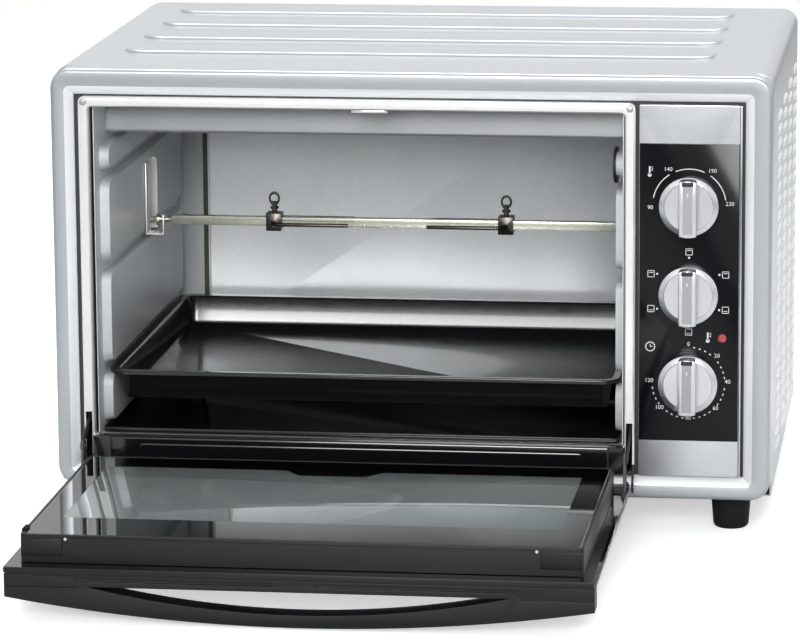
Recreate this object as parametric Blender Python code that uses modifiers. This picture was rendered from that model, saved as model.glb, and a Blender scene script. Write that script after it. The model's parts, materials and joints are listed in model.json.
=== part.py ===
"""Countertop electric oven with a rotisserie spit, a drop-down glass door and three dials.

Sizes are in metres. The body's own frame has x = 0 on its middle plane, y = 0 on its
front face (the front looks along -Y) and z = 0 under its sheet-metal floor. The door is
modelled lying open. An empty carries that frame to the origin under the whole object.
"""
import math

import bmesh
import bpy
from mathutils import Matrix, Vector

MM = 0.001

# ---- driving dimensions -------------------------------------------------------------
BODY_WIDTH = 550 * MM
BODY_HEIGHT = 325 * MM
BODY_DEPTH = 397 * MM
FOOT_HEIGHT = 27.5 * MM
GAP = 0.3 * MM                  # clearance between pieces that seat on each other
SLIDE = 0.6 * MM                # clearance round pieces that slide or turn

SHELL_WALL = 1.0 * MM
SHELL_CORNER = 12 * MM
FRAME_DEPTH = 18 * MM
FRAME_CORNER = 15 * MM
FRAME_BORDER = 10 * MM          # painted outer border of the front frame
FRAME_CHAMFER = 6 * MM          # bright slope inside it
FRAME_CHAMFER_DROP = 5 * MM
FRAME_WALL = 1.5 * MM
PLATE_WALL = 1.2 * MM           # fascia plate behind the frame

OPENING_WIDTH = 409.7 * MM
OPENING_HEIGHT = 256.7 * MM
OPENING_FLOOR = 39.3 * MM       # height of the cavity opening's lower edge
OPENING_LEFT_BORDER = 29.4 * MM  # from the body's left side to the opening
RING_BORDER = 8 * MM
RING_SILL = 21.8 * MM           # the ring is deeper under the opening
RING_PROUD = 0.9 * MM

CAVITY_DEPTH = 345 * MM
CAVITY_WALL = 0.8 * MM
CAVITY_INSET = 2.1 * MM         # cavity walls stand this far inside the opening's sides
CAVITY_HEADROOM = 1.5 * MM      # cavity roof above the opening's upper edge
PAD_HEIGHT = 7 * MM             # embossed pads on the side walls
PAD_INSET = 3 * MM              # how much smaller a pad's face is than its foot
PAD_DRAFT = 1.2 * MM            # fall of a pad's upper edge over its height
RACK_GROOVE = 8 * MM            # height of the grooves between the pads
RACK_RISES = (42.7 * MM, 122.7 * MM, 194.7 * MM)   # grooves' lower edges above the opening's

PANEL_WIDTH = 75.6 * MM
PANEL_HEIGHT = 285.2 * MM
PANEL_BASE = 18 * MM
PANEL_RIGHT_BORDER = 24.3 * MM  # from the panel's right edge to the body's side
OVERLAY_WALL = 0.5 * MM
OVERLAY_BASE = 46 * MM
OVERLAY_HEIGHT = 228 * MM

KNOB_DIAMETER = 45 * MM
KNOB_BASE_HEIGHT = 7 * MM
KNOB_GRIP_HEIGHT = 13 * MM
KNOB_GRIP_WIDTH = 10.5 * MM
KNOB_HEIGHTS = {"thermostat": 227.3 * MM, "function": 159.3 * MM, "timer": 91.0 * MM}
SHAFT_DIAMETER = 6 * MM
LAMP_DIAMETER = 6.6 * MM
LAMP_HEIGHT = 126 * MM
LAMP_SIDE = 25.4 * MM           # lamp's distance to the right of the knobs

SPIT_SIZE = 7 * MM
SPIT_HEIGHT = 178 * MM
SPIT_BACK = 178 * MM            # distance behind the front face
SPIT_NECK = 4.4 * MM
FORK_PLACES = {"left": -132 * MM, "right": 55 * MM}
FORK_SPREAD = 34 * MM
FORK_REACH = 62 * MM
FORK_WIRE = 3.2 * MM
SOCKET_DIAMETER = 14 * MM

HEATER_DIAMETER = 6.5 * MM
HEATER_SPAN = 140 * MM
UPPER_HEATER_DROP = 15 * MM     # below the opening's upper edge
LOWER_HEATER_RISE = 11.7 * MM   # above its lower edge
HEATER_FRONT = 105 * MM
BAFFLE_BACK = 60 * MM
BAFFLE_DROP = 30 * MM

FAN_DIAMETER = 84 * MM
FAN_BACK = 280 * MM
FAN_HEIGHT = 178 * MM

TRAY_RIM = 4 * MM
TRAY_DEPTH = 24 * MM
TRAY_WALL = 1.0 * MM
TRAY_FRONT = 26 * MM
TRAY_BACK_CLEARANCE = 14.3 * MM
TRAY_SIDE_CLEARANCE = 3 * MM
CRUMB_WALL = 0.8 * MM
CRUMB_LIP = 4 * MM

DOOR_OVERLAP = 6.15 * MM        # outer pane past the opening's sides
DOOR_TOP_OVERLAP = 9 * MM       # and past its upper edge, when shut
DOOR_PANE = 4 * MM
HINGE_FORWARD = 4.3 * MM        # hinge axis in front of the front face
HINGE_HEIGHT = 10 * MM
HINGE_PIN = 3.5 * MM
HINGE_EYE = 7.6 * MM
INNER_CLEARANCE = 3.85 * MM     # inner frame inside the opening's sides, when shut
INNER_TOP_CLEARANCE = 5 * MM    # and inside its upper edge
INNER_START = 36 * MM           # inner frame's near edge, from the hinge axis
INNER_HEIGHT = 21 * MM          # from the outer pane to the inner frame's top
INNER_BORDER = 16 * MM
INNER_PANE = 3 * MM
LEAF_WALL = 1.5 * MM
HINGE_SLOT_WIDTH = 5 * MM
HINGE_SLOT_FLOOR = 21.5 * MM
HINGE_SLOT_HEIGHT = 37 * MM
ARM_LENGTH = 62 * MM
ARM_WIDTH = 7 * MM
ARM_WALL = 1.2 * MM
RIVET_DIAMETER = 4 * MM
ARM_ANGLE = math.radians(23.9)
ARM_PIN_ALONG = 22 * MM
ARM_PIN_UP = 27 * MM

HANDLE_INSET = 1 * MM           # handle's ends inside the outer pane's sides
HANDLE_THICKNESS = 24 * MM      # along the door
HANDLE_BASE = 8 * MM            # strip against the door
HANDLE_END_DEPTH = 17 * MM      # below the door at the ends
HANDLE_MID_DEPTH = 34 * MM      # below the door in the middle
HANDLE_GAP_WIDTH = 288 * MM
HANDLE_GAP_DEPTH = 14 * MM

FOOT_TOP_DIAMETER = 31 * MM
FOOT_BASE_DIAMETER = 27 * MM
FOOT_INSET = 31 * MM

RIB_WIDTH = 54 * MM
RIB_PITCH = 79.6 * MM
RIB_START = 88 * MM
RIB_HEIGHT = 2 * MM
RIB_COUNT = 4
LOUVRE_COLUMNS = 4
LOUVRE_ROWS = 24
LOUVRE_LENGTH = 34 * MM
LOUVRE_HEIGHT = 5 * MM
LOUVRE_PITCH = 11.2 * MM
LOUVRE_COLUMN_PITCH = 84 * MM
LOUVRE_START = 78 * MM
LOUVRE_TOP = 285 * MM
INLET_DIAMETER = 16 * MM
INLET_HEIGHT = 60 * MM
BUSH_FLANGE = 2 * MM
VENT_COUNT = 14
VENT_PITCH = 14 * MM

# ---- derived places -----------------------------------------------------------------
SIDE = BODY_WIDTH / 2
OPEN_LEFT = -SIDE + OPENING_LEFT_BORDER
OPEN_RIGHT = OPEN_LEFT + OPENING_WIDTH
OPEN_TOP = OPENING_FLOOR + OPENING_HEIGHT
RING_LEFT, RING_RIGHT = OPEN_LEFT - RING_BORDER, OPEN_RIGHT + RING_BORDER
PLATE_FRONT = FRAME_CHAMFER_DROP + 2.8 * MM
PLATE_BACK = PLATE_FRONT + PLATE_WALL
SEAT_FRONT = PLATE_FRONT - GAP  # back of what sits on the fascia plate
CAVITY_FRONT = PLATE_BACK + GAP
CAVITY_BACK = CAVITY_FRONT + CAVITY_DEPTH
CAVITY_LEFT = OPEN_LEFT + CAVITY_INSET
CAVITY_RIGHT = OPEN_RIGHT - CAVITY_INSET
CAVITY_FLOOR = OPENING_FLOOR - GAP
CAVITY_ROOF = OPEN_TOP + CAVITY_HEADROOM
PANEL_RIGHT = SIDE - PANEL_RIGHT_BORDER
PANEL_LEFT = PANEL_RIGHT - PANEL_WIDTH
KNOB_X = (PANEL_LEFT + PANEL_RIGHT) / 2
RACK_LEVELS = [OPENING_FLOOR + rise for rise in RACK_RISES]
TRAY_END = CAVITY_BACK - TRAY_BACK_CLEARANCE
DOOR_X = (OPEN_LEFT + OPEN_RIGHT) / 2
DOOR_START = -1.5 * MM          # outer pane's edges and the inner frame's far edge, from the axis
DOOR_END = OPEN_TOP + DOOR_TOP_OVERLAP - HINGE_HEIGHT
INNER_END = OPEN_TOP - INNER_TOP_CLEARANCE - HINGE_HEIGHT
DOOR_WIDTH = OPENING_WIDTH + 2 * DOOR_OVERLAP
INNER_WIDTH = OPENING_WIDTH - 2 * INNER_CLEARANCE
HANDLE_WIDTH = DOOR_WIDTH - 2 * HANDLE_INSET
PANE_TOP = HINGE_HEIGHT + DOOR_PANE / 2
PANE_BOTTOM = HINGE_HEIGHT - DOOR_PANE / 2
INNER_TOP = PANE_TOP + INNER_HEIGHT
SHELL_FRONT = FRAME_DEPTH + GAP
REAR_DEPTH = BODY_DEPTH + BUSH_FLANGE
FRONT_REACH = HINGE_FORWARD + DOOR_END + 1.5 * MM
FRONT_Y = (FRONT_REACH - REAR_DEPTH) / 2
SLOT_X = OPENING_WIDTH / 2 + 4 * MM   # hinge slots' middle, from the door's middle plane

# ---- scene and helpers --------------------------------------------------------------
for old in list(bpy.data.objects):
    bpy.data.objects.remove(old, do_unlink=True)

PARTS = bpy.data.collections.new("countertop_rotisserie_oven")
bpy.context.scene.collection.children.link(PARTS)


def material(name, colour, roughness, metallic):
    """A plain Principled material."""
    made = bpy.data.materials.new(name)
    made.use_nodes = True
    shader = made.node_tree.nodes["Principled BSDF"]
    shader.inputs["Base Color"].default_value = (*colour, 1)
    shader.inputs["Roughness"].default_value = roughness
    shader.inputs["Metallic"].default_value = metallic
    return made


SILVER_PAINT = material("silver_paint", (0.55, 0.57, 0.60), 0.35, 0.6)
STAINLESS = material("brushed_stainless", (0.62, 0.61, 0.58), 0.3, 1.0)
ALUMINISED = material("aluminised_steel", (0.5, 0.52, 0.52), 0.4, 1.0)
ZINC = material("zinc_steel", (0.5, 0.5, 0.5), 0.45, 1.0)
CHROME = material("chrome", (0.75, 0.75, 0.75), 0.1, 1.0)
SATIN = material("satin_silver", (0.66, 0.66, 0.66), 0.3, 0.8)
GLOSS_BLACK = material("gloss_black", (0.01, 0.01, 0.011), 0.08, 0.0)
BLACK_PLASTIC = material("black_plastic", (0.015, 0.015, 0.016), 0.4, 0.0)
BLACK_ENAMEL = material("black_enamel", (0.008, 0.008, 0.008), 0.2, 0.0)
RUBBER = material("black_rubber", (0.02, 0.02, 0.02), 0.8, 0.0)
GLASS = material("dark_glass", (0.05, 0.06, 0.06), 0.05, 0.0)
HEATER = material("heater_sheath", (0.10, 0.11, 0.10), 0.5, 1.0)
RED_LENS = material("red_lens", (0.6, 0.03, 0.02), 0.15, 0.0)
PHENOLIC = material("phenolic", (0.12, 0.07, 0.04), 0.5, 0.0)

DATUM = bpy.data.objects.new("body_datum", None)
DATUM.location = (0, FRONT_Y, FOOT_HEIGHT)
PARTS.objects.link(DATUM)


def pivot(name, x, y, z, parent=None):
    """An empty on a joint's axis, placed in the body's own frame."""
    made = bpy.data.objects.new(name, None)
    PARTS.objects.link(made)
    made["place"] = (x, y, z)
    made.parent = parent or DATUM
    base = Vector(parent["place"]) if parent else Vector()
    made.location = Vector((x, y, z)) - base
    return made


def solid(mesh):
    """A mesh as a linked object, ready for Booleans."""
    made = bpy.data.objects.new(mesh.name, mesh)
    PARTS.objects.link(made)
    return made


def from_bmesh(shape):
    """A bmesh as an object with its faces pointing out."""
    bmesh.ops.recalc_face_normals(shape, faces=shape.faces)
    mesh = bpy.data.meshes.new("solid")
    shape.to_mesh(mesh)
    shape.free()
    return solid(mesh)


def baked(work):
    """The object with its modifiers or curve settings turned into a plain closed mesh."""
    graph = bpy.context.evaluated_depsgraph_get()
    mesh = bpy.data.meshes.new_from_object(work.evaluated_get(graph))
    mesh.transform(work.matrix_world)
    bpy.data.objects.remove(work, do_unlink=True)
    shape = bmesh.new()
    shape.from_mesh(mesh)
    bmesh.ops.remove_doubles(shape, verts=shape.verts, dist=0.00001)
    return from_bmesh(shape)


def box(x, y, z):
    """A box between pairs of low and high values."""
    shape = bmesh.new()
    bmesh.ops.create_cube(shape, size=1)
    for vert in shape.verts:
        vert.co = Vector(low + (high - low) * (c + 0.5) for (low, high), c in zip((x, y, z), vert.co))
    return from_bmesh(shape)


TURNS = {"x": Matrix.Rotation(math.radians(90), 4, "Y"),
         "y": Matrix.Rotation(math.radians(90), 4, "X"),
         "z": Matrix.Identity(4)}


def rod(axis, centre, radius, length, segments=20):
    """A cylinder along x, y or z, about its middle."""
    shape = bmesh.new()
    bmesh.ops.create_cone(shape, cap_ends=True, segments=segments, radius1=radius,
                          radius2=radius, depth=length)
    shape.transform(Matrix.Translation(centre) @ TURNS[axis])
    return from_bmesh(shape)


def turned(profile, axis, centre, steps=24):
    """A (radius, height) profile turned about an axis; height runs along +Z, -Y or +X."""
    shape = bmesh.new()
    verts = [shape.verts.new((r, 0, h)) for r, h in profile]
    for low, high in zip(verts, verts[1:]):
        shape.edges.new((low, high))
    if profile[0][0] > 0:
        shape.edges.new((verts[-1], verts[0]))
    work = from_bmesh(shape)
    screw = work.modifiers.new("turn", "SCREW")
    screw.steps = screw.render_steps = steps
    screw.use_merge_vertices = True
    screw.merge_threshold = 0.00001
    made = baked(work)
    made.data.transform(Matrix.Translation(centre) @ TURNS[axis])
    return made


def round_corner(cx, cz, radius, start, steps):
    """Points of a quarter circle, counter-clockwise from a start angle in quarter turns."""
    for i in range(steps + 1):
        angle = (start + i / steps) * math.pi / 2
        yield cx + radius * math.cos(angle), cz + radius * math.sin(angle)


def rounded(u0, u1, v0, v1, radius, steps=4):
    """Outline of a rectangle with round corners."""
    points = []
    centres = ((u1 - radius, v1 - radius), (u0 + radius, v1 - radius),
               (u0 + radius, v0 + radius), (u1 - radius, v0 + radius))
    for quarter, (cu, cv) in enumerate(centres):
        points += round_corner(cu, cv, radius, quarter, steps)
    return points


def circle(u, v, radius, steps=20):
    """Outline of a circle."""
    angles = [2 * math.pi * i / steps for i in range(steps)]
    return [(u + radius * math.cos(a), v + radius * math.sin(a)) for a in angles]


PLANES = {"xz": Matrix(((1, 0, 0, 0), (0, 0, -1, 0), (0, 1, 0, 0), (0, 0, 0, 1))),
          "xy": Matrix.Identity(4),
          "yz": Matrix(((0, 0, 1, 0), (1, 0, 0, 0), (0, 1, 0, 0), (0, 0, 0, 1)))}


def plate(plane, outlines, low, high):
    """A flat plate: the first outline is its edge and the others are holes in it."""
    curve = bpy.data.curves.new("outline", "CURVE")
    curve.dimensions = "2D"
    curve.fill_mode = "BOTH"
    curve.extrude = (high - low) / 2
    for outline in outlines:
        spline = curve.splines.new("POLY")
        spline.points.add(len(outline) - 1)
        for point, (u, v) in zip(spline.points, outline):
            point.co = (u, v, 0, 1)
        spline.use_cyclic_u = True
    made = baked(solid(curve))
    middle = (low + high) / 2
    depth = -middle if plane == "xz" else middle
    made.data.transform(PLANES[plane] @ Matrix.Translation((0, 0, depth)))
    return made


def loft(sections, ring):
    """Loops of equal count joined in order; a ring closes on itself, else its ends are capped."""
    shape = bmesh.new()
    loops = [[shape.verts.new(p) for p in section] for section in sections]
    pairs = list(zip(loops, loops[1:]))
    if ring:
        pairs.append((loops[-1], loops[0]))
    else:
        shape.faces.new(loops[0])
        shape.faces.new(loops[-1])
    count = len(loops[0])
    for near, far in pairs:
        for i in range(count):
            j = (i + 1) % count
            shape.faces.new((near[i], near[j], far[j], far[i]))
    return from_bmesh(shape)


def tube(points, diameter, sides=2):
    """A round bar along a path."""
    curve = bpy.data.curves.new("path", "CURVE")
    curve.dimensions = "3D"
    curve.bevel_depth = diameter / 2
    curve.bevel_resolution = sides
    curve.use_fill_caps = True
    spline = curve.splines.new("POLY")
    spline.points.add(len(points) - 1)
    for point, place in zip(spline.points, points):
        point.co = (*place, 1)
    return baked(solid(curve))


def combined(base, tool, operation):
    """One exact Boolean, applied."""
    step = base.modifiers.new(operation.lower(), "BOOLEAN")
    step.operation = operation
    step.object = tool
    made = baked(base)
    bpy.data.objects.remove(tool, do_unlink=True)
    return made


def cut(base, *tools):
    """The base with each tool taken away."""
    for tool in tools:
        base = combined(base, tool, "DIFFERENCE")
    return base


def joined(base, *tools):
    """The base and each tool as one body."""
    for tool in tools:
        base = combined(base, tool, "UNION")
    return base


def several(tools):
    """Separate boxes or rods gathered into one cutting object."""
    shape = bmesh.new()
    for tool in tools:
        shape.from_mesh(tool.data)
        bpy.data.objects.remove(tool, do_unlink=True)
    return from_bmesh(shape)


def piece(work, name, finish, axis=None):
    """Name a finished solid, give it its material and hang it on its pivot or the datum."""
    work.name = work.data.name = name
    work.data.materials.clear()
    work.data.materials.append(finish)
    work.data.shade_smooth()
    work.data.set_sharp_from_angle(angle=math.radians(30))
    if axis:
        work.data.transform(Matrix.Translation(-Vector(axis["place"])))
    work.parent = axis or DATUM
    return work


# ---- casing -------------------------------------------------------------------------
def outer_shell():
    """Top and sides in one bent sheet, with pressed ribs and rows of side louvres."""
    inner = SHELL_CORNER - SHELL_WALL
    lip = 9 * MM
    outside = [(SIDE - lip, 0), (SIDE, 0)]
    outside += round_corner(SIDE - SHELL_CORNER, BODY_HEIGHT - SHELL_CORNER, SHELL_CORNER, 0, 5)
    inside = [(SIDE - lip, SHELL_WALL), (SIDE - SHELL_WALL, SHELL_WALL)]
    inside += round_corner(SIDE - SHELL_CORNER, BODY_HEIGHT - SHELL_CORNER, inner, 0, 5)
    outline = outside + [(-x, z) for x, z in reversed(outside)]
    outline += [(-x, z) for x, z in inside] + list(reversed(inside))
    shell = plate("xz", [outline], SHELL_FRONT, BODY_DEPTH)
    for i in range(RIB_COUNT):
        front = RIB_START + i * RIB_PITCH
        edge = rounded(-SIDE + 37 * MM, SIDE - 49 * MM, front, front + RIB_WIDTH, 20 * MM, 3)
        shell = joined(shell, plate("xy", [edge], BODY_HEIGHT - SHELL_WALL / 2,
                                    BODY_HEIGHT + RIB_HEIGHT))
    slots = []
    for column in range(LOUVRE_COLUMNS):
        front = LOUVRE_START + column * LOUVRE_COLUMN_PITCH
        for row in range(LOUVRE_ROWS):
            top = LOUVRE_TOP - row * LOUVRE_PITCH
            slots.append(box((-SIDE - SHELL_WALL, SIDE + SHELL_WALL), (front, front + LOUVRE_LENGTH),
                             (top - LOUVRE_HEIGHT, top)))
    return piece(cut(shell, several(slots)), "outer_shell", SILVER_PAINT)


def front_frame():
    """Pressed front frame: round painted border, bright inner slope, open back."""
    def section(left, right, low, high, corner, y):
        edge = rounded(-SIDE + left, SIDE - right, low, BODY_HEIGHT - high, corner)
        return [(x, y, z) for x, z in edge]

    def even(inset, corner, y):
        return section(inset, inset, inset, inset, corner, y)

    inner = FRAME_BORDER + FRAME_CHAMFER
    right = PANEL_RIGHT_BORDER - 5 * MM
    high = BODY_HEIGHT - OPEN_TOP - RING_BORDER - 2.3 * MM
    low = 15.5 * MM
    slope = FRAME_CHAMFER
    wall = FRAME_WALL
    sections = [
        even(0, FRAME_CORNER, FRAME_DEPTH),
        even(0, FRAME_CORNER, 9 * MM),
        even(1.2 * MM, FRAME_CORNER, 4.5 * MM),
        even(4 * MM, FRAME_CORNER, 1.4 * MM),
        even(8 * MM, FRAME_CORNER - 4 * MM, 0),
        section(inner - slope, right - slope, low - slope, high - slope, 9 * MM, 0),
        section(inner, right, low, high, 4 * MM, FRAME_CHAMFER_DROP),
        section(inner, right, low, high, 4 * MM, SEAT_FRONT),
        section(inner - wall, right - wall, low - wall, high - wall, 5 * MM, SEAT_FRONT),
        section(inner - slope - wall, right - slope - wall, low - slope - wall,
                high - slope - wall, 9 * MM, 1.9 * MM),
        even(5.4 * MM, FRAME_CORNER - 4 * MM, 3.4 * MM),
        even(wall, FRAME_CORNER - wall, 9 * MM),
        even(wall, FRAME_CORNER - wall, FRAME_DEPTH),
    ]
    return piece(loft(sections, ring=True), "front_frame", SILVER_PAINT)


def hinge_slots(reach):
    """Cutters for the two slots that the hinge arms pass through."""
    for side in (-1, 1):
        middle = DOOR_X + side * SLOT_X
        yield box((middle - HINGE_SLOT_WIDTH / 2, middle + HINGE_SLOT_WIDTH / 2), reach,
                  (HINGE_SLOT_FLOOR, HINGE_SLOT_FLOOR + HINGE_SLOT_HEIGHT))


def shaft_holes(radius):
    """Outlines of the three control holes and the lamp hole."""
    holes = [circle(KNOB_X, height, radius) for height in KNOB_HEIGHTS.values()]
    holes.append(circle(KNOB_X + LAMP_SIDE, LAMP_HEIGHT, LAMP_DIAMETER / 2 + GAP, 16))
    return holes


def fascia_plate():
    """Steel plate behind the frame, with the cavity opening and the control holes."""
    margin = FRAME_WALL + 1.5 * MM
    edge = rounded(-SIDE + margin, SIDE - margin, margin, BODY_HEIGHT - margin, 12 * MM)
    opening = rounded(OPEN_LEFT, OPEN_RIGHT, OPENING_FLOOR, OPEN_TOP, 3 * MM)
    made = plate("xz", [edge, opening] + shaft_holes(SHAFT_DIAMETER / 2 + 1 * MM),
                 PLATE_FRONT, PLATE_BACK)
    made = cut(made, *hinge_slots((0, PLATE_BACK + MM)))
    return piece(made, "fascia_plate", ZINC)


def opening_ring():
    """Stainless ring round the cavity opening, with hinge slots and two hinge ears."""
    def section(inset, corner, y):
        edge = rounded(RING_LEFT + inset, RING_RIGHT - inset, OPENING_FLOOR - RING_SILL + inset,
                       OPEN_TOP + RING_BORDER - inset, corner)
        return [(x, y, z) for x, z in edge]

    def throat(outset, y):
        edge = rounded(OPEN_LEFT - outset, OPEN_RIGHT + outset, OPENING_FLOOR - outset,
                       OPEN_TOP + outset, 3 * MM + outset)
        return [(x, y, z) for x, z in edge]

    made = loft([section(0, 5 * MM, SEAT_FRONT), section(0, 5 * MM, 0.8 * MM),
                 section(1.5 * MM, 4 * MM, -RING_PROUD), throat(1.2 * MM, -RING_PROUD),
                 throat(0, 0.6 * MM), throat(0, SEAT_FRONT)], ring=True)
    made = cut(made, *hinge_slots((-3 * MM, SEAT_FRONT + MM)))
    for side in (-1, 1):
        outer = DOOR_X + side * (OPENING_WIDTH / 2 + RING_BORDER)
        inner = outer - side * 1.6 * MM
        y0, y1 = -HINGE_FORWARD - HINGE_EYE / 2, 1.5 * MM
        z0, z1 = HINGE_HEIGHT - HINGE_EYE / 2, OPENING_FLOOR - RING_SILL + 9 * MM
        ear = [(y0, z0), (-RING_PROUD - GAP, z0), (-RING_PROUD - GAP, z1 - 8 * MM), (y1, z1 - 8 * MM),
               (y1, z1), (-RING_PROUD, z1), (y0, z1 - 10 * MM)]
        hole = circle(-HINGE_FORWARD, HINGE_HEIGHT, HINGE_PIN / 2 + GAP / 2, 14)
        made = joined(made, plate("yz", [ear, hole], min(outer, inner), max(outer, inner)))
    return piece(made, "opening_ring", STAINLESS)


def back_panel():
    """Rear sheet with vent slots and the opening for the mains inlet bush."""
    margin = SHELL_WALL + 1 * MM
    edge = rounded(-SIDE + margin, SIDE - margin, margin, BODY_HEIGHT - margin, SHELL_CORNER - margin)
    vents = []
    for row in range(2):
        for i in range(VENT_COUNT):
            left = KNOB_X - 25 * MM - i * VENT_PITCH * 2
            low = 210 * MM + row * 45 * MM
            vents.append(rounded(left, left + 6 * MM, low, low + 32 * MM, 1.5 * MM, 1))
    inlet = circle(KNOB_X, INLET_HEIGHT, INLET_DIAMETER / 2)
    made = plate("xz", [edge, inlet] + vents, BODY_DEPTH - SHELL_WALL, BODY_DEPTH)
    return piece(made, "back_panel", SILVER_PAINT)


def mains_inlet_bush():
    """Black bush in the rear sheet where the mains lead enters."""
    sleeve, flange = INLET_DIAMETER / 2 - GAP, INLET_DIAMETER / 2 + 3 * MM
    bore = INLET_DIAMETER / 4
    profile = [(bore, 5 * MM), (sleeve, 5 * MM), (sleeve, -GAP), (flange, -GAP),
               (flange, -BUSH_FLANGE), (bore, -BUSH_FLANGE)]
    made = turned(profile, "y", (KNOB_X, BODY_DEPTH, INLET_HEIGHT))
    return piece(made, "mains_inlet_bush", BLACK_PLASTIC)


def base_plate():
    """Floor sheet that lies on the shell's lips and carries the feet."""
    margin = SHELL_WALL + 1 * MM
    low = SHELL_WALL + GAP
    edge = rounded(-SIDE + margin, SIDE - margin, FRAME_DEPTH + 2 * MM,
                   BODY_DEPTH - SHELL_WALL - MM, 4 * MM)
    holes = [circle(x, y, 2.3 * MM, 12) for x, y in FOOT_PLACES.values()]
    vents = []
    for i in range(8):
        left = -150 * MM + i * 36 * MM
        vents.append(rounded(left, left + 20 * MM, 180 * MM, 186 * MM, 1.5 * MM, 1))
    made = plate("xy", [edge] + holes + vents, low, low + SHELL_WALL)
    return piece(made, "base_plate", ZINC)


FOOT_PLACES = {
    f"{row}_{side}": (sign * (SIDE - FOOT_INSET), y)
    for row, y in (("front", FOOT_INSET + 2 * MM), ("rear", BODY_DEPTH - FOOT_INSET))
    for side, sign in (("left", -1), ("right", 1))
}


def feet():
    """Four black feet, each held by a screw through the floor sheet."""
    bore, recess = 2.3 * MM, 4.8 * MM
    top, bottom = SHELL_WALL, -FOOT_HEIGHT
    flat = FOOT_TOP_DIAMETER / 2
    foot_base = FOOT_BASE_DIAMETER / 2
    profile = [(bore, top), (flat - 6 * MM, top), (flat - 6 * MM, -GAP), (flat, -GAP),
               (foot_base, bottom + 2 * MM), (foot_base - 2 * MM, bottom), (recess, bottom),
               (recess, -12 * MM), (bore, -12 * MM)]
    shank, head = 2 * MM, 4.2 * MM
    screw = [(0, 8 * MM), (shank, 8 * MM), (shank, -12 * MM - GAP), (head, -12 * MM - GAP),
             (head, -15 * MM), (0, -15 * MM)]
    for name, (x, y) in FOOT_PLACES.items():
        piece(turned(profile, "z", (x, y, 0), 16), f"foot_{name}", RUBBER)
        piece(turned(screw, "z", (x, y, 0), 12), f"foot_screw_{name}", ZINC)


# ---- control panel ------------------------------------------------------------------
def control_panel():
    """Stainless panel, black overlay and the red pilot lamp."""
    radius = SHAFT_DIAMETER / 2 + 0.8 * MM
    edge = rounded(PANEL_LEFT, PANEL_RIGHT, PANEL_BASE, PANEL_BASE + PANEL_HEIGHT, 1 * MM, 2)
    made = plate("xz", [edge] + shaft_holes(radius), 0.5 * MM, SEAT_FRONT)
    piece(made, "control_panel", STAINLESS)
    edge = rounded(PANEL_LEFT + GAP, PANEL_RIGHT - GAP, OVERLAY_BASE, OVERLAY_BASE + OVERLAY_HEIGHT,
                   1 * MM, 2)
    front = 0.5 * MM - GAP - OVERLAY_WALL
    made = plate("xz", [edge] + shaft_holes(radius), front, front + OVERLAY_WALL)
    piece(made, "control_overlay", GLOSS_BLACK)
    lens = LAMP_DIAMETER / 2
    profile = [(0, 2 * MM), (lens * 0.6, 1.6 * MM), (lens, 0.6 * MM), (lens, -13 * MM), (0, -13 * MM)]
    made = turned(profile, "y", (KNOB_X + LAMP_SIDE, front, LAMP_HEIGHT), 16)
    piece(made, "pilot_lamp", RED_LENS)


def knob(name):
    """A round knob with a grip bar across it, on its own turning shaft."""
    height = KNOB_HEIGHTS[name]
    axis = pivot(f"{name}_axis", KNOB_X, 0, height)
    radius = KNOB_DIAMETER / 2
    back = 1.2 * MM
    bore = SHAFT_DIAMETER / 2 + GAP
    front = back + KNOB_BASE_HEIGHT
    made = turned([(0, front), (radius - 3.5 * MM, front), (radius - 2 * MM, front - 0.6 * MM),
                   (radius, front - 3.5 * MM), (radius, back), (0, back)],
                  "y", (KNOB_X, 0, height), 32)
    bar = rounded(KNOB_X - KNOB_GRIP_WIDTH / 2, KNOB_X + KNOB_GRIP_WIDTH / 2, height - radius + MM,
                  height + radius - MM, 2.5 * MM, 3)
    made = joined(made, plate("xz", [bar], -back - KNOB_BASE_HEIGHT - KNOB_GRIP_HEIGHT, -back - 2 * MM))
    shaft_tip = back + KNOB_BASE_HEIGHT + 3 * MM
    hole = rod("y", (KNOB_X, -shaft_tip / 2, height), bore, shaft_tip + 2 * GAP, 16)
    piece(cut(made, hole), f"{name}_knob", SATIN, axis)
    rear = PLATE_BACK + 16 * MM
    made = rod("y", (KNOB_X, (rear - shaft_tip) / 2, height), SHAFT_DIAMETER / 2, rear + shaft_tip, 16)
    piece(made, f"{name}_shaft", ZINC, axis)


def control_body(name, width, height, depth, finish):
    """The switch, thermostat or clockwork behind a knob, with a bore for its shaft."""
    z = KNOB_HEIGHTS[name]
    front = PLATE_BACK + GAP
    edge = rounded(KNOB_X - width / 2, KNOB_X + width / 2, z - height / 2, z + height / 2, 3 * MM, 2)
    made = plate("xz", [edge], front, front + depth)
    bore = rod("y", (KNOB_X, front + 8 * MM, z), SHAFT_DIAMETER / 2 + GAP, 18 * MM, 16)
    return piece(cut(made, bore), f"{name}_body", finish)


def timer_bell():
    """Bell cup on the back of the timer."""
    z = KNOB_HEIGHTS["timer"]
    front = PLATE_BACK + GAP + 30 * MM + GAP
    profile = [(0, 0), (3 * MM, 0), (3 * MM, -9 * MM), (17 * MM, -9 * MM), (20 * MM, -5 * MM),
               (20 * MM, 0), (21 * MM, 0), (21 * MM, -6 * MM), (18 * MM, -10.2 * MM), (0, -10.2 * MM)]
    return piece(turned(profile, "y", (KNOB_X, front, z)), "timer_bell", CHROME)


# ---- cavity -------------------------------------------------------------------------
def pad_bands():
    """Heights between the rack grooves: low and high edge of each embossed pad."""
    low = OPENING_FLOOR + 4 * MM
    for level in RACK_LEVELS:
        yield low, level - GAP
        low = level + RACK_GROOVE
    yield low, OPEN_TOP - BAFFLE_DROP - 5 * MM


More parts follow.
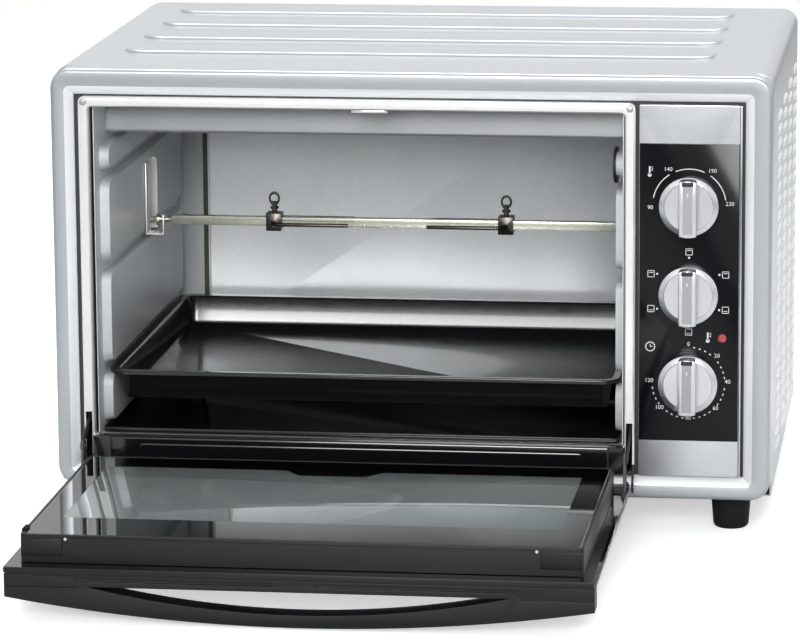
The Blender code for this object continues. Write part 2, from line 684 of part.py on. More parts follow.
def side_wall(name, inner, outward, holes):
    """A cavity side wall with embossed pads between the rack grooves."""
    outer = inner + outward * CAVITY_WALL
    edge = rounded(CAVITY_FRONT, CAVITY_BACK - GAP, CAVITY_FLOOR, CAVITY_ROOF - GAP, 1 * MM, 1)
    made = plate("yz", [edge], min(inner, outer), max(inner, outer))
    for low, high in pad_bands():
        sections = []
        for depth, inset, fall in ((-outward * PAD_HEIGHT, PAD_INSET, PAD_DRAFT),
                                   (outward * CAVITY_WALL / 2, 0, 0)):
            band = rounded(CAVITY_FRONT + 18 * MM + inset, CAVITY_BACK - 16 * MM - inset,
                           low + fall, high - fall, min(9 * MM, (high - low) * 0.4), 3)
            sections.append([(inner + depth, y, z) for y, z in band])
        made = joined(made, loft(sections, ring=False))
    reach = PAD_HEIGHT + 2 * MM
    if holes:
        made = cut(made, several([plate("yz", [hole], inner - reach, inner + reach) for hole in holes]))
    return piece(made, name, ALUMINISED)


def cavity():
    """The five walls of the cooking space."""
    heater_hole = HEATER_DIAMETER / 2 + GAP
    holes = [circle(y, z, heater_hole, 12)
             for y in (HEATER_FRONT, HEATER_FRONT + HEATER_SPAN)
             for z in (OPENING_FLOOR + LOWER_HEATER_RISE, OPEN_TOP - UPPER_HEATER_DROP)]
    holes.append(circle(SPIT_BACK, SPIT_HEIGHT, SOCKET_DIAMETER / 2 + SLIDE, 16))
    for i in range(6):
        angle = math.radians(60 * i)
        holes.append(circle(FAN_BACK + 24 * MM * math.cos(angle), FAN_HEIGHT + 24 * MM * math.sin(angle),
                            5 * MM, 10))
    side_wall("cavity_left_wall", CAVITY_LEFT, -1, [])
    side_wall("cavity_right_wall", CAVITY_RIGHT, 1, holes)
    left, right = CAVITY_LEFT - CAVITY_WALL, CAVITY_RIGHT + CAVITY_WALL
    edge = rounded(left, right, CAVITY_FRONT, CAVITY_BACK - GAP, 1 * MM, 1)
    piece(plate("xy", [edge], CAVITY_FLOOR - GAP - CAVITY_WALL, CAVITY_FLOOR - GAP),
          "cavity_floor", ALUMINISED)
    piece(plate("xy", [edge], CAVITY_ROOF, CAVITY_ROOF + CAVITY_WALL), "cavity_roof", ALUMINISED)
    edge = rounded(left, right, CAVITY_FLOOR - GAP - CAVITY_WALL, CAVITY_ROOF + CAVITY_WALL, 1 * MM, 1)
    rib = box((CAVITY_LEFT + 22 * MM, CAVITY_LEFT + 27 * MM),
              (CAVITY_BACK - 1.5 * MM, CAVITY_BACK + CAVITY_WALL / 2),
              (CAVITY_FLOOR + 3 * MM, CAVITY_ROOF - 3 * MM))
    made = joined(plate("xz", [edge], CAVITY_BACK, CAVITY_BACK + CAVITY_WALL), rib)
    piece(made, "cavity_back", ALUMINISED)


def heater_baffle():
    """Strip across the top front of the cavity that hides the upper heater."""
    top = CAVITY_ROOF - GAP
    low = OPEN_TOP - BAFFLE_DROP
    back = BAFFLE_BACK
    outline = [(back, top), (back, low), (back - 7 * MM, low - 3 * MM),
               (back - 7 * MM, low - 3 * MM - CAVITY_WALL), (back + CAVITY_WALL, low - CAVITY_WALL * 0.6),
               (back + CAVITY_WALL, top)]
    made = plate("yz", [outline], CAVITY_LEFT + GAP, CAVITY_RIGHT - GAP)
    return piece(made, "heater_baffle", ALUMINISED)


def heater(name, height):
    """A hairpin tube heater whose two ends leave through the right wall."""
    left = CAVITY_LEFT + PAD_HEIGHT + 8 * MM
    right = CAVITY_RIGHT + 20 * MM
    bend = 22 * MM
    back = HEATER_FRONT + HEATER_SPAN
    points = [(right, HEATER_FRONT, height)]
    for cy, start in ((HEATER_FRONT + bend, 2), (back - bend, 1)):
        corner = list(round_corner(left + bend, cy, bend, start, 4))
        points += [(x, y, height) for x, y in reversed(corner)]
    points.append((right, back, height))
    return piece(tube(points, HEATER_DIAMETER), name, HEATER)


def door_catch():
    """Small striker plate at the top middle of the opening."""
    made = box((DOOR_X - 4 * MM, DOOR_X + 26 * MM), (2 * MM, 12 * MM), (OPEN_TOP - 2.4 * MM, OPEN_TOP - GAP))
    return piece(made, "door_catch", CHROME)


# ---- spit drive, fan ----------------------------------------------------------------
def spit_assembly():
    """Square spit with two forks and thumb screws, its drive socket, motor and rest."""
    y, z = SPIT_BACK, SPIT_HEIGHT
    axis = pivot("spit_axis", 0, y, z)
    half = SPIT_SIZE / 2
    neck_left = CAVITY_LEFT + 17 * MM
    tip_left = CAVITY_LEFT + PAD_HEIGHT + 3.5 * MM
    socket_left = CAVITY_RIGHT - PAD_HEIGHT - 6 * MM
    end_right = socket_left + 12 * MM
    made = box((neck_left + 11 * MM, end_right), (y - half, y + half), (z - half, z + half))
    neck = rod("x", ((tip_left + neck_left + 13 * MM) / 2, y, z), SPIT_NECK / 2,
               neck_left + 13 * MM - tip_left, 12)
    collar = rod("x", (neck_left, y, z), SPIT_SIZE / 2 + 1.5 * MM, 3 * MM, 16)
    piece(joined(made, neck, collar), "spit_rod", CHROME, axis)

    for side, sign in (("left", 1), ("right", -1)):
        place = FORK_PLACES[side]
        hub = box((place - 6 * MM, place + 6 * MM), (y - 7 * MM, y + 7 * MM), (z - 7 * MM, z + 7 * MM))
        spread = FORK_SPREAD / 2
        near = [(place + sign * FORK_REACH, y + spread, z), (place + sign * 6 * MM, y + spread, z)]
        bend = list(round_corner(0, spread - 6 * MM, 6 * MM, 1, 3))
        near += [(place + sign * (6 * MM + u), y + v, z) for u, v in bend[1:]]
        far = [(x, 2 * y - v, z) for x, v, _ in reversed(near)]
        prongs = tube(near + far, FORK_WIRE)
        bore = box((place - 8 * MM, place + 8 * MM), (y - half - GAP, y + half + GAP),
                   (z - half - GAP, z + half + GAP))
        tap = rod("z", (place, y, z + 6 * MM), 2 * MM + GAP, 12 * MM, 12)
        piece(cut(joined(hub, prongs), bore, tap), f"spit_fork_{side}", CHROME, axis)
        shank = rod("z", (place, y, z + half + GAP + 6 * MM), 2 * MM, 12 * MM, 12)
        head = rod("z", (place, y, z + 16 * MM), 5 * MM, 4 * MM, 16)
        wing = box((place - 9 * MM, place + 9 * MM), (y - 1.2 * MM, y + 1.2 * MM),
                   (z + 15 * MM, z + 24 * MM))
        screw_axis = pivot(f"fork_screw_{side}_axis", place, y, z, axis)
        piece(joined(shank, head, wing), f"fork_screw_{side}", CHROME, screw_axis)

    socket = rod("x", ((socket_left + CAVITY_RIGHT + 12 * MM) / 2, y, z), SOCKET_DIAMETER / 2,
                 CAVITY_RIGHT + 12 * MM - socket_left, 20)
    hole = box((socket_left - MM, end_right + GAP), (y - half - GAP, y + half + GAP),
               (z - half - GAP, z + half + GAP))
    piece(cut(socket, hole), "spit_socket", ZINC, axis)

    outer = CAVITY_RIGHT + CAVITY_WALL + GAP
    motor = plate("yz", [rounded(y - 24 * MM, y + 24 * MM, z - 24 * MM, z + 24 * MM, 10 * MM, 3)],
                  outer, outer + 26 * MM)
    bore = rod("x", (outer + 6 * MM, y, z), SOCKET_DIAMETER / 2 + GAP, 13 * MM, 20)
    piece(cut(motor, bore), "spit_motor", ZINC)

    return neck_left


def spit_rest(neck_left):
    """Bracket on the left wall's pad whose notch carries the spit's neck."""
    y, z = SPIT_BACK, SPIT_HEIGHT
    wall = CAVITY_LEFT + PAD_HEIGHT + GAP
    hook = neck_left + 4 * MM
    half, notch = 7 * MM, SPIT_NECK / 2 + GAP
    low, sheet = z - 12 * MM, 1.5 * MM
    outline = [(y - half, low), (y + half, low), (y + half, z + 5 * MM), (y + notch, z + 2 * MM),
               (y + notch, z - notch), (y - notch, z - notch), (y - notch, z + 2 * MM),
               (y - half, z + 5 * MM)]
    made = joined(plate("yz", [outline], hook, hook + sheet),
                  box((wall, hook + sheet / 2), (y - half, y + half), (low, low + sheet)),
                  box((wall, wall + sheet), (y - half, y + half), (low, z + 47 * MM)))
    return piece(made, "spit_rest", ZINC)


def convection_fan():
    """Fan behind the right wall, its shroud and its motor."""
    axis = pivot("fan_axis", 0, FAN_BACK, FAN_HEIGHT)
    outer = CAVITY_RIGHT + CAVITY_WALL + GAP
    y, z = FAN_BACK, FAN_HEIGHT
    rim = FAN_DIAMETER / 2 + 4 * MM
    depth = 22 * MM
    profile = [(rim, 0), (rim, depth), (3.6 * MM, depth), (3.6 * MM, depth - 1.2 * MM),
               (rim - 1.2 * MM, depth - 1.2 * MM), (rim - 1.2 * MM, 0)]
    shroud = turned(profile, "x", (outer, y, z), 28)
    piece(shroud, "fan_shroud", ALUMINISED)
    hub = rod("x", (outer + 11 * MM, y, z), 8 * MM, 12 * MM, 16)
    blades = []
    for i in range(6):
        blade = box((outer + 6 * MM, outer + 16 * MM), (-0.6 * MM, 0.6 * MM), (4 * MM, FAN_DIAMETER / 2))
        blade.data.transform(Matrix.Translation((0, y, z)) @ Matrix.Rotation(math.radians(60 * i), 4, "X"))
        blades.append(blade)
    shaft = rod("x", (outer + 22 * MM, y, z), 3 * MM, 24 * MM, 12)
    piece(joined(hub, shaft, *blades), "convection_fan", ZINC, axis)
    front = outer + depth + GAP
    motor = rod("x", (front + 14 * MM, y, z), 26 * MM, 28 * MM, 28)
    bore = rod("x", (front + 6 * MM, y, z), 3 * MM + GAP, 14 * MM, 16)
    piece(cut(motor, bore), "fan_motor", ZINC)


# ---- trays --------------------------------------------------------------------------
def open_tray(x0, x1, y0, y1, floor, rim, wall, lip, taper, corner):
    """A pressed tray: sloped sides, rounded corners and a flat lip all round."""
    def loop(inset, z, radius):
        return [(x, y, z) for x, y in rounded(x0 + inset, x1 - inset, y0 + inset, y1 - inset, radius)]

    return loft([
        loop(lip + taper + wall, floor + wall, corner),
        loop(lip + wall, rim, corner + wall),
        loop(0, rim, corner + lip),
        loop(0, rim - TRAY_RIM, corner + lip),
        loop(wall, rim - TRAY_RIM, corner + lip - wall),
        loop(wall, rim - wall, corner + lip - wall),
        loop(lip, rim - wall, corner + wall),
        loop(lip + taper, floor, corner),
    ], ring=False)


def baking_tray():
    """Black enamelled tray whose lip slides in the lowest pair of rack grooves."""
    axis = pivot("tray_axis", DOOR_X, TRAY_FRONT, RACK_LEVELS[0])
    rim = RACK_LEVELS[0] - PAD_DRAFT * TRAY_SIDE_CLEARANCE / PAD_HEIGHT + TRAY_RIM
    made = open_tray(CAVITY_LEFT + TRAY_SIDE_CLEARANCE, CAVITY_RIGHT - TRAY_SIDE_CLEARANCE, TRAY_FRONT,
                     TRAY_END, rim - TRAY_DEPTH, rim, TRAY_WALL,
                     PAD_HEIGHT + 1.5 * MM, 5 * MM, 12 * MM)
    return piece(made, "baking_tray", BLACK_ENAMEL, axis)


def crumb_tray():
    """Shallow tray on the cavity floor that pulls out under the lower heater."""
    axis = pivot("crumb_tray_axis", DOOR_X, CAVITY_FRONT, OPENING_FLOOR)
    low = OPENING_FLOOR + GAP

    def loop(inset, z):
        edge = rounded(CAVITY_LEFT + 2 * MM + inset, CAVITY_RIGHT - 2 * MM - inset,
                       CAVITY_FRONT + 3 * MM + inset, CAVITY_BACK - 4 * MM - inset, 4 * MM, 3)
        return [(x, y, z) for x, y in edge]

    made = loft([loop(CRUMB_WALL, low + CRUMB_WALL), loop(CRUMB_WALL, low + CRUMB_LIP - GAP),
                 loop(0, low + CRUMB_LIP - GAP), loop(0, low)], ring=False)
    return piece(made, "crumb_tray", BLACK_ENAMEL, axis)


# ---- door ---------------------------------------------------------------------------
def along(distance):
    """A place on the open door, from its distance to the hinge axis."""
    return -HINGE_FORWARD - distance


def door():
    """Outer pane, inner frame, inner pane and handle, all turning on the hinge axis."""
    axis = pivot("door_axis", DOOR_X, -HINGE_FORWARD, HINGE_HEIGHT)
    half = DOOR_WIDTH / 2
    notch_x, notch = half - 5.2 * MM, 12 * MM
    edge = [(DOOR_X + s * u, along(r)) for s, u, r in (
        (-1, notch_x, DOOR_START), (1, notch_x, DOOR_START), (1, notch_x, notch), (1, half, notch),
        (1, half, DOOR_END), (-1, half, DOOR_END), (-1, half, notch), (-1, notch_x, notch))]
    piece(plate("xy", [edge], PANE_BOTTOM, PANE_TOP), "door_outer_pane", GLOSS_BLACK, axis)

    def loop(inset, z, corner):
        outline = rounded(DOOR_X - INNER_WIDTH / 2 + inset, DOOR_X + INNER_WIDTH / 2 - inset,
                          along(INNER_END - inset), along(INNER_START + inset), corner)
        return [(x, y, z) for x, y in outline]

    ledge = INNER_TOP - INNER_PANE - GAP - 0.3 * MM
    base = PANE_TOP + GAP
    made = loft([
        loop(0, base + 3 * MM, 3 * MM), loop(0, INNER_TOP - 0.8 * MM, 3 * MM),
        loop(0.8 * MM, INNER_TOP, 2.6 * MM), loop(2 * MM, INNER_TOP, 2 * MM),
        loop(2 * MM, ledge, 2 * MM), loop(INNER_BORDER, ledge, 2 * MM),
        loop(INNER_BORDER, base, 2 * MM), loop(8 * MM, base, 3 * MM),
        loop(8 * MM, base + 3 * MM, 3 * MM),
    ], ring=True)
    piece(made, "door_inner_frame", BLACK_PLASTIC, axis)
    pane = [(x, y) for x, y, _ in loop(2 * MM + GAP, 0, 2 * MM)]
    piece(plate("xy", [pane], ledge + GAP, ledge + GAP + INNER_PANE), "door_inner_pane", GLASS, axis)
    return axis


def door_handle(axis):
    """One moulding: a strip against the pane and a bow with a finger gap."""
    top = PANE_BOTTOM - GAP
    half = HANDLE_WIDTH / 2
    drop = HANDLE_MID_DEPTH - HANDLE_END_DEPTH
    count = 20
    bow = [(DOOR_X + half * u, top - HANDLE_END_DEPTH - drop * (1 - u * u))
           for u in (2 * i / count - 1 for i in range(count + 1))]
    outline = [(DOOR_X + half, top), (DOOR_X - half, top)] + bow
    gap_half = HANDLE_GAP_WIDTH / 2
    gap_top = top - HANDLE_BASE
    arc = [(DOOR_X + gap_half * u, gap_top - HANDLE_GAP_DEPTH * (1 - u * u))
           for u in (2 * i / count - 1 for i in range(count + 1))]
    low, high = along(DOOR_END + 1.5 * MM), along(DOOR_END + 1.5 * MM - HANDLE_THICKNESS)
    made = plate("xz", [outline, arc], low, high)
    return piece(made, "door_handle", BLACK_PLASTIC, axis)


def leaf_outline(low):
    """Side outline of a hinge leaf: eye round the pin, strap on the pane, raised lug."""
    radius = HINGE_EYE / 2
    below, above = 2 * MM, low + 0.5 * MM - HINGE_HEIGHT
    start = math.pi + math.asin(below / radius)
    end = 3 * math.pi - math.asin(above / radius)
    steps = 16
    angles = [start + (end - start) * i / steps for i in range(steps + 1)]
    eye = [(along(-radius * math.cos(a)), HINGE_HEIGHT + radius * math.sin(a)) for a in angles]
    lug = HINGE_HEIGHT + ARM_PIN_UP + 5 * MM
    strap = ((11.5, low + 0.8 * MM), (15, low + 6 * MM), (17, lug), (27, lug), (32, low + 6 * MM),
             (45, low + 0.8 * MM), (45, low), (11, low), (11, HINGE_HEIGHT - below))
    return eye + [(along(distance * MM), z) for distance, z in strap]


def hinge_leaf(side, sign, middle, axis):
    """Steel leaf fixed to the pane, turning on the hinge pin."""
    low = PANE_TOP + GAP
    half = LEAF_WALL / 2
    bore = circle(-HINGE_FORWARD, HINGE_HEIGHT, HINGE_PIN / 2 + GAP / 2, 14)
    rivet = circle(along(ARM_PIN_ALONG), HINGE_HEIGHT + ARM_PIN_UP, RIVET_DIAMETER / 2 + GAP / 2, 14)
    made = plate("yz", [leaf_outline(low), bore, rivet], middle - half, middle + half)
    inner = DOOR_X + sign * (INNER_WIDTH / 2 - 7 * MM)
    flange = box((min(inner, middle), max(inner, middle)), (along(34 * MM), along(14 * MM)),
                 (low, low + 0.8 * MM))
    return piece(joined(made, flange), f"hinge_leaf_{side}", ZINC, axis)


def hinge_arm(side, sign, middle, axis):
    """Stay arm riveted to the leaf; its free end passes through the slot into the body."""
    y, z = along(ARM_PIN_ALONG), HINGE_HEIGHT + ARM_PIN_UP
    arm_axis = pivot(f"hinge_arm_{side}_axis", middle, y, z, axis)
    near = middle + sign * (LEAF_WALL / 2 + GAP)
    far = near + sign * ARM_WALL
    half = ARM_WIDTH / 2
    bar = plate("yz", [rounded(-half, ARM_LENGTH, -half, half, half * 0.97, 3),
                       circle(ARM_LENGTH - 5 * MM, 0, 1.5 * MM, 10)], min(near, far), max(near, far))
    bar.data.transform(Matrix.Translation((0, y, z)) @ Matrix.Rotation(ARM_ANGLE, 4, "X"))
    tip = middle - sign * (LEAF_WALL / 2 + 0.8 * MM)
    root = (near + far) / 2
    rivet = rod("x", ((tip + root) / 2, y, z), RIVET_DIAMETER / 2, abs(root - tip), 14)
    return piece(joined(bar, rivet), f"hinge_arm_{side}", ZINC, arm_axis)


def hinge_pin(side, sign):
    """Steel pin through the ring's ear and the leaf's eye."""
    inner = DOOR_X + sign * (DOOR_WIDTH / 2 - 4.9 * MM)
    outer = DOOR_X + sign * (OPENING_WIDTH / 2 + RING_BORDER + 0.6 * MM)
    made = rod("x", ((inner + outer) / 2, -HINGE_FORWARD, HINGE_HEIGHT), HINGE_PIN / 2,
               abs(outer - inner), 14)
    return piece(made, f"hinge_pin_{side}", ZINC)


def hinges(axis):
    """The two door hinges with their stay arms."""
    for side, sign in (("left", -1), ("right", 1)):
        middle = DOOR_X + sign * (SLOT_X - 0.9 * MM)
        hinge_leaf(side, sign, middle, axis)
        hinge_arm(side, sign, middle, axis)
        hinge_pin(side, sign)


outer_shell()
front_frame()
fascia_plate()
opening_ring()
back_panel()
mains_inlet_bush()
base_plate()
feet()
control_panel()
for control in KNOB_HEIGHTS:
    knob(control)
control_body("thermostat", 34 * MM, 34 * MM, 26 * MM, PHENOLIC)
control_body("function", 36 * MM, 36 * MM, 34 * MM, PHENOLIC)
control_body("timer", 44 * MM, 44 * MM, 30 * MM, ZINC)
timer_bell()
cavity()
heater_baffle()
heater("upper_heater", OPEN_TOP - UPPER_HEATER_DROP)
heater("lower_heater", OPENING_FLOOR + LOWER_HEATER_RISE)
door_catch()
spit_rest(spit_assembly())
convection_fan()
baking_tray()
crumb_tray()
DOOR_AXIS = door()
door_handle(DOOR_AXIS)
hinges(DOOR_AXIS)
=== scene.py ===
"""Looks of a countertop electric oven with a rotisserie spit and a drop-down glass door.

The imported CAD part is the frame: its boxes give every place and size here. Visible pieces are
modelled again with finer edges and surfaces, and hidden works keep their CAD shape. Metres.
"""
import json
import math

import bmesh
import bpy
from bpy.props import (FloatProperty, FloatVectorProperty, IntProperty, PointerProperty)
from mathutils import Matrix, Vector

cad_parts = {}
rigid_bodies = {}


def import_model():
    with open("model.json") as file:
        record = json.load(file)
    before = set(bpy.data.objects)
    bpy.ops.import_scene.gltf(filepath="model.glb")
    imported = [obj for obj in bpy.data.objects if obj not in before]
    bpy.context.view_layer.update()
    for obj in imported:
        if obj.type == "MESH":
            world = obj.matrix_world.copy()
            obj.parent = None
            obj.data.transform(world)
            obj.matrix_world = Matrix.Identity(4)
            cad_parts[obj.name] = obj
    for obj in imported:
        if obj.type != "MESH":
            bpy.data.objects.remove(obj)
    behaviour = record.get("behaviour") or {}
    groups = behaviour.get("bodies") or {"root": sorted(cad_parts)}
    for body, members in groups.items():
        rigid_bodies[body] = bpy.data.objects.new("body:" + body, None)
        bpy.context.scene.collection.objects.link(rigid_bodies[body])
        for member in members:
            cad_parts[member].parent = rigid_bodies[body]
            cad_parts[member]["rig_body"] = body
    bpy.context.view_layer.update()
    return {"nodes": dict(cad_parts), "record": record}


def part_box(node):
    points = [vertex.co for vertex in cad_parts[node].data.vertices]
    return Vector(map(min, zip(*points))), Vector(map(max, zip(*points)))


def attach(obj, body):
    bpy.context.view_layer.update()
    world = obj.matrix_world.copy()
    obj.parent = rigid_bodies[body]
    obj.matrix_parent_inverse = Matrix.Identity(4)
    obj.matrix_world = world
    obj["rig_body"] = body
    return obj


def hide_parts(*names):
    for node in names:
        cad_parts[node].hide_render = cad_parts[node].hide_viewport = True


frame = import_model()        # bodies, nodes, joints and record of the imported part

bl_info = {
    "name": "Countertop Rotisserie Oven",
    "version": (1, 0, 0),
    "blender": (4, 5, 0),
    "location": "View3D > Sidebar > Oven",
    "description": "Builds the finished surfaces of a countertop oven round its CAD frame",
    "category": "Object",
}

MM = 0.001
NODES = frame["nodes"]
SLOT_OF = {part["node"]: part["material_slot"] for part in frame["record"]["subparts"]}
BODY_OF = {name: node["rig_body"] for name, node in NODES.items()}

# The body's own frame: x = 0 on its middle plane, y = 0 on its front face, z = 0 under its floor.
FRAME_LOW, FRAME_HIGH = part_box("front_frame")
FRONT, FLOOR = FRAME_LOW.y, FRAME_LOW.z
PANE_LOW, PANE_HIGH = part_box("door_outer_pane")
DOOR_X = (PANE_LOW.x + PANE_HIGH.x) / 2
RING_SILL = FLOOR + 39.5 * MM       # the opening ring is enamelled black below this height
RIVET_PROUD = 1.2 * MM
DIAL_RADIUS, DIAL_THICK, DIAL_TALL = 22.5 * MM, 7 * MM, 20 * MM
CHANNEL_DEEP = 0.6 * MM             # the channel along a dial's grip
PRINT_THICK = 0.08 * MM             # the fired borders of the panes
TURNS = {"x": (0, math.pi / 2, 0), "y": (math.pi / 2, 0, 0), "z": (0, 0, 0)}
DIALS = ("thermostat_knob", "function_knob", "timer_knob")
FINISH = {}                         # every material by name, filled by the first operator


def at(x, y, z):
    """A place in millimetres in the body's own frame, as a world point in metres."""
    return Vector((x * MM, y * MM + FRONT, z * MM + FLOOR))


def centre_of(name):
    """Middle of a CAD node's box."""
    low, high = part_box(name)
    return (low + high) / 2


def linear(code):
    """An sRGB hex colour as linear red, green, blue and alpha."""
    channels = [int(code[i:i + 2], 16) / 255 for i in (0, 2, 4)]
    return (*(c / 12.92 if c <= 0.04045 else ((c + 0.055) / 1.055) ** 2.4 for c in channels), 1.0)


# ---- settings -----------------------------------------------------------------------
def length(name, description, default):
    """A distance property, given in millimetres."""
    return FloatProperty(name=name, description=description, default=default * MM, min=0.0,
                         unit="LENGTH", subtype="DISTANCE", precision=5)


def colour(name, description, code):
    """A colour property, given as an sRGB hex code."""
    return FloatVectorProperty(name=name, description=description, default=linear(code), size=4,
                               min=0.0, max=1.0, subtype="COLOR")


class OvenCasing(bpy.types.PropertyGroup):
    """Sizes of the painted casing."""
    sheet: length("Sheet", "Thickness of the bent casing sheet", 1.0)
    corner: length("Corner", "Outer radius of the casing's long upper corners", 12)
    rib_height: length("Rib height", "How far the ribs on the top stand up", 2)
    rib_width: length("Rib width", "Width of one rib, front to back", 54)
    rib_pitch: length("Rib pitch", "Distance from one rib to the next", 79.6)
    rib_count: IntProperty(name="Ribs", description="Number of ribs on the top", default=4, min=0)
    louvre_rise: length("Louvre rise", "How far the rim of each side louvre is pressed out", 1.6)
    louvre_rows: IntProperty(name="Louvre rows", description="Louvres in one column", default=24)
    louvre_columns: IntProperty(name="Louvre columns", description="On each side", default=4)
    border_round: length("Border round", "Rounding of the front frame's outer border", 3.2)


class OvenControls(bpy.types.PropertyGroup):
    """Sizes of the dials and their scales."""
    rim: length("Rim", "Width of the bevelled rim of a dial", 3.8)
    grip_edge: length("Grip edge", "Rounding along the dial's grip bar", 0.8)
    scale_radius: length("Scale radius", "Radius of the printed arcs round a dial", 27.6)
    line: length("Line", "Width of the printed lines", 0.75)
    numerals: length("Numerals", "Type size of the printed numbers", 4.4)


class OvenDoor(bpy.types.PropertyGroup):
    """Sizes of the door's glass and handle."""
    glass_edge: length("Glass edge", "Ground chamfer round the panes", 0.6)
    left_border: length("Left border", "Printed border of the inner pane on the left", 17)
    right_border: length("Right border", "Printed border of the inner pane on the right", 18)
    free_border: length("Free border", "Printed border along the door's free edge", 49)
    hinge_border: length("Hinge border", "Printed border along the hinge edge", 30)
    handle_round: length("Handle round", "Rounding along the handle's edges", 1.2)


class OvenCavity(bpy.types.PropertyGroup):
    """Sizes of the oven's inside."""
    pressing: length("Pressing", "Rounding of pressed edges in the cavity walls", 1.6)
    tray_corner: length("Tray corner", "Corner radius of the baking tray's rim", 16)
    tray_roll: length("Tray roll", "Height of the tray's turned-down edge", 3)


class OvenColours(bpy.types.PropertyGroup):
    """Colours of the finishes."""
    paint: colour("Paint", "Metallic silver paint of the casing", "a9aeb2")
    stainless: colour("Stainless", "Brushed stainless steel", "c3c6ca")
    aluminised: colour("Aluminised", "Aluminised steel of the cavity", "d4d8da")
    enamel: colour("Enamel", "Black enamel of the trays", "0c0c0e")
    plastic: colour("Plastic", "Black heat-resistant plastic", "0e0f11")
    overlay: colour("Overlay", "Gloss black of the control panel", "0a0b0f")
    tint: colour("Glass tint", "Tint of the toughened glass", "b9c0c0")


class OvenStage(bpy.types.PropertyGroup):
    """The camera's place and the studio's light."""
    camera_place: FloatVectorProperty(name="Camera", description="Where the camera stands",
                                      default=(0.4351, -3.3011, 0.8254), subtype="TRANSLATION",
                                      unit="LENGTH")
    camera_yaw: FloatProperty(name="Yaw", description="Camera's turn to the left", unit="ROTATION",
                              default=0.1351)
    camera_pitch: FloatProperty(name="Pitch", description="Camera's tilt down", unit="ROTATION",
                                default=0.1995)
    camera_roll: FloatProperty(name="Roll", description="Camera's roll", unit="ROTATION",
                               default=-0.0072)
    lens: FloatProperty(name="Lens", description="Focal length on a 36 mm sensor, in millimetres",
                        default=197.9)
    floor: colour("Floor", "Floor of the studio", "f6f6f6")
    sky: FloatProperty(name="Sky", description="Strength of the even light from all round",
                       default=0.32)
    glow: FloatProperty(name="Floor glow", description="How much paler the floor looks than its "
                        "light makes it", default=0.55)
    lamps: FloatProperty(name="Lamps", description="Power of the softboxes, in watts", default=14.0)


# ---- modelling by hand --------------------------------------------------------------
def deselect():
    """Object mode with nothing selected, so that the next primitive comes in alone."""
    if bpy.context.mode != "OBJECT":
        bpy.ops.object.mode_set(mode="OBJECT")
    bpy.ops.object.select_all(action="DESELECT")


def alone(obj):
    """Only this object selected and active, in object mode."""
    deselect()
    obj.select_set(True)
    bpy.context.view_layer.objects.active = obj
    return obj


def settled(obj):
    """The object with its place, turn and scale moved into its mesh."""
    alone(obj)
    bpy.ops.object.transform_apply(location=True, rotation=True, scale=True)
    return obj


def box(low, high):
    """A cube stretched between two corners."""
    low, high = Vector(low), Vector(high)
    deselect()
    bpy.ops.mesh.primitive_cube_add(size=1, location=(low + high) / 2, scale=high - low)
    return settled(bpy.context.object)


def drum(centre, axis, radius, depth, sides=48):
    """A cylinder along x, y or z about its centre."""
    deselect()
    bpy.ops.mesh.primitive_cylinder_add(vertices=sides, radius=radius, depth=depth,
                                        location=centre, rotation=TURNS[axis])
    return settled(bpy.context.object)


def flat(low, high, radius=0.0, segments=6):
    """A flat rectangle, thin along one axis, with round corners. It faces up or to the front."""
    low, high = Vector(low), Vector(high)
    size = high - low
    deselect()
    upright = size.y < size.z
    turn = (math.pi / 2, 0, 0) if upright else (0, 0, 0)
    scale = (size.x, size.z if upright else size.y, 1)
    bpy.ops.mesh.primitive_plane_add(size=1, location=(low + high) / 2, rotation=turn)
    made = bpy.context.object
    made.scale = scale
    settled(made)
    if radius:
        choose(made, "VERT")
        bpy.ops.mesh.bevel(offset=radius, segments=segments, affect="VERTICES")
        leave()
    return made


def middle(part):
    """Centre of a vertex, edge or face."""
    if isinstance(part, bmesh.types.BMVert):
        return part.co
    return sum((v.co for v in part.verts), Vector()) / len(part.verts)


def choose(obj, kind="FACE", test=lambda part: True):
    """Edit mode, with only the vertices, edges or faces that pass the test selected."""
    alone(obj)
    bpy.ops.object.mode_set(mode="EDIT")
    bpy.ops.mesh.select_mode(type=kind)
    bpy.ops.mesh.select_all(action="DESELECT")
    shape = bmesh.from_edit_mesh(obj.data)
    parts = {"VERT": shape.verts, "EDGE": shape.edges, "FACE": shape.faces}[kind]
    for part in parts:
        if test(part):
            part.select_set(True)
    shape.select_flush_mode()
    bmesh.update_edit_mesh(obj.data)


def leave():
    """Back to object mode."""
    bpy.ops.object.mode_set(mode="OBJECT")


def pulled(offset):
    """Extrude what is selected in edit mode."""
    bpy.ops.mesh.extrude_region_move(TRANSFORM_OT_translate={"value": offset})


def removed(obj, test):
    """Delete the chosen faces."""
    choose(obj, "FACE", test)
    bpy.ops.mesh.delete(type="FACE")
    leave()


def stepped(obj, steps, test=lambda face: True, hollow=False):
    """Inset the chosen faces once for each (width, rise) step, working towards their middle.

    With hollow, what is left in the middle is then removed.
    """
    choose(obj, "FACE", test)
    for width, rise in steps:
        bpy.ops.mesh.inset(thickness=width, depth=rise, use_even_offset=True)
    if hollow:
        bpy.ops.mesh.delete(type="FACE")
    leave()


def before(place):
    """A test for parts whose vertices all lie in front of a place along y."""
    return lambda part: all(v.co.y < place for v in part.verts)


def rounded_edges(obj, width, segments=3, test=lambda edge: True):
    """Bevel the chosen edges."""
    choose(obj, "EDGE", test)
    bpy.ops.mesh.bevel(offset=width, segments=segments, affect="EDGES", clamp_overlap=True)
    leave()


def changed(obj, kind, **settings):
    """Add one modifier with its settings and apply it."""
    alone(obj)
    bpy.ops.object.modifier_add(type=kind)
    step = obj.modifiers[-1]
    for name, value in settings.items():
        setattr(step, name, value)
    bpy.ops.object.modifier_apply(modifier=step.name)
    return obj


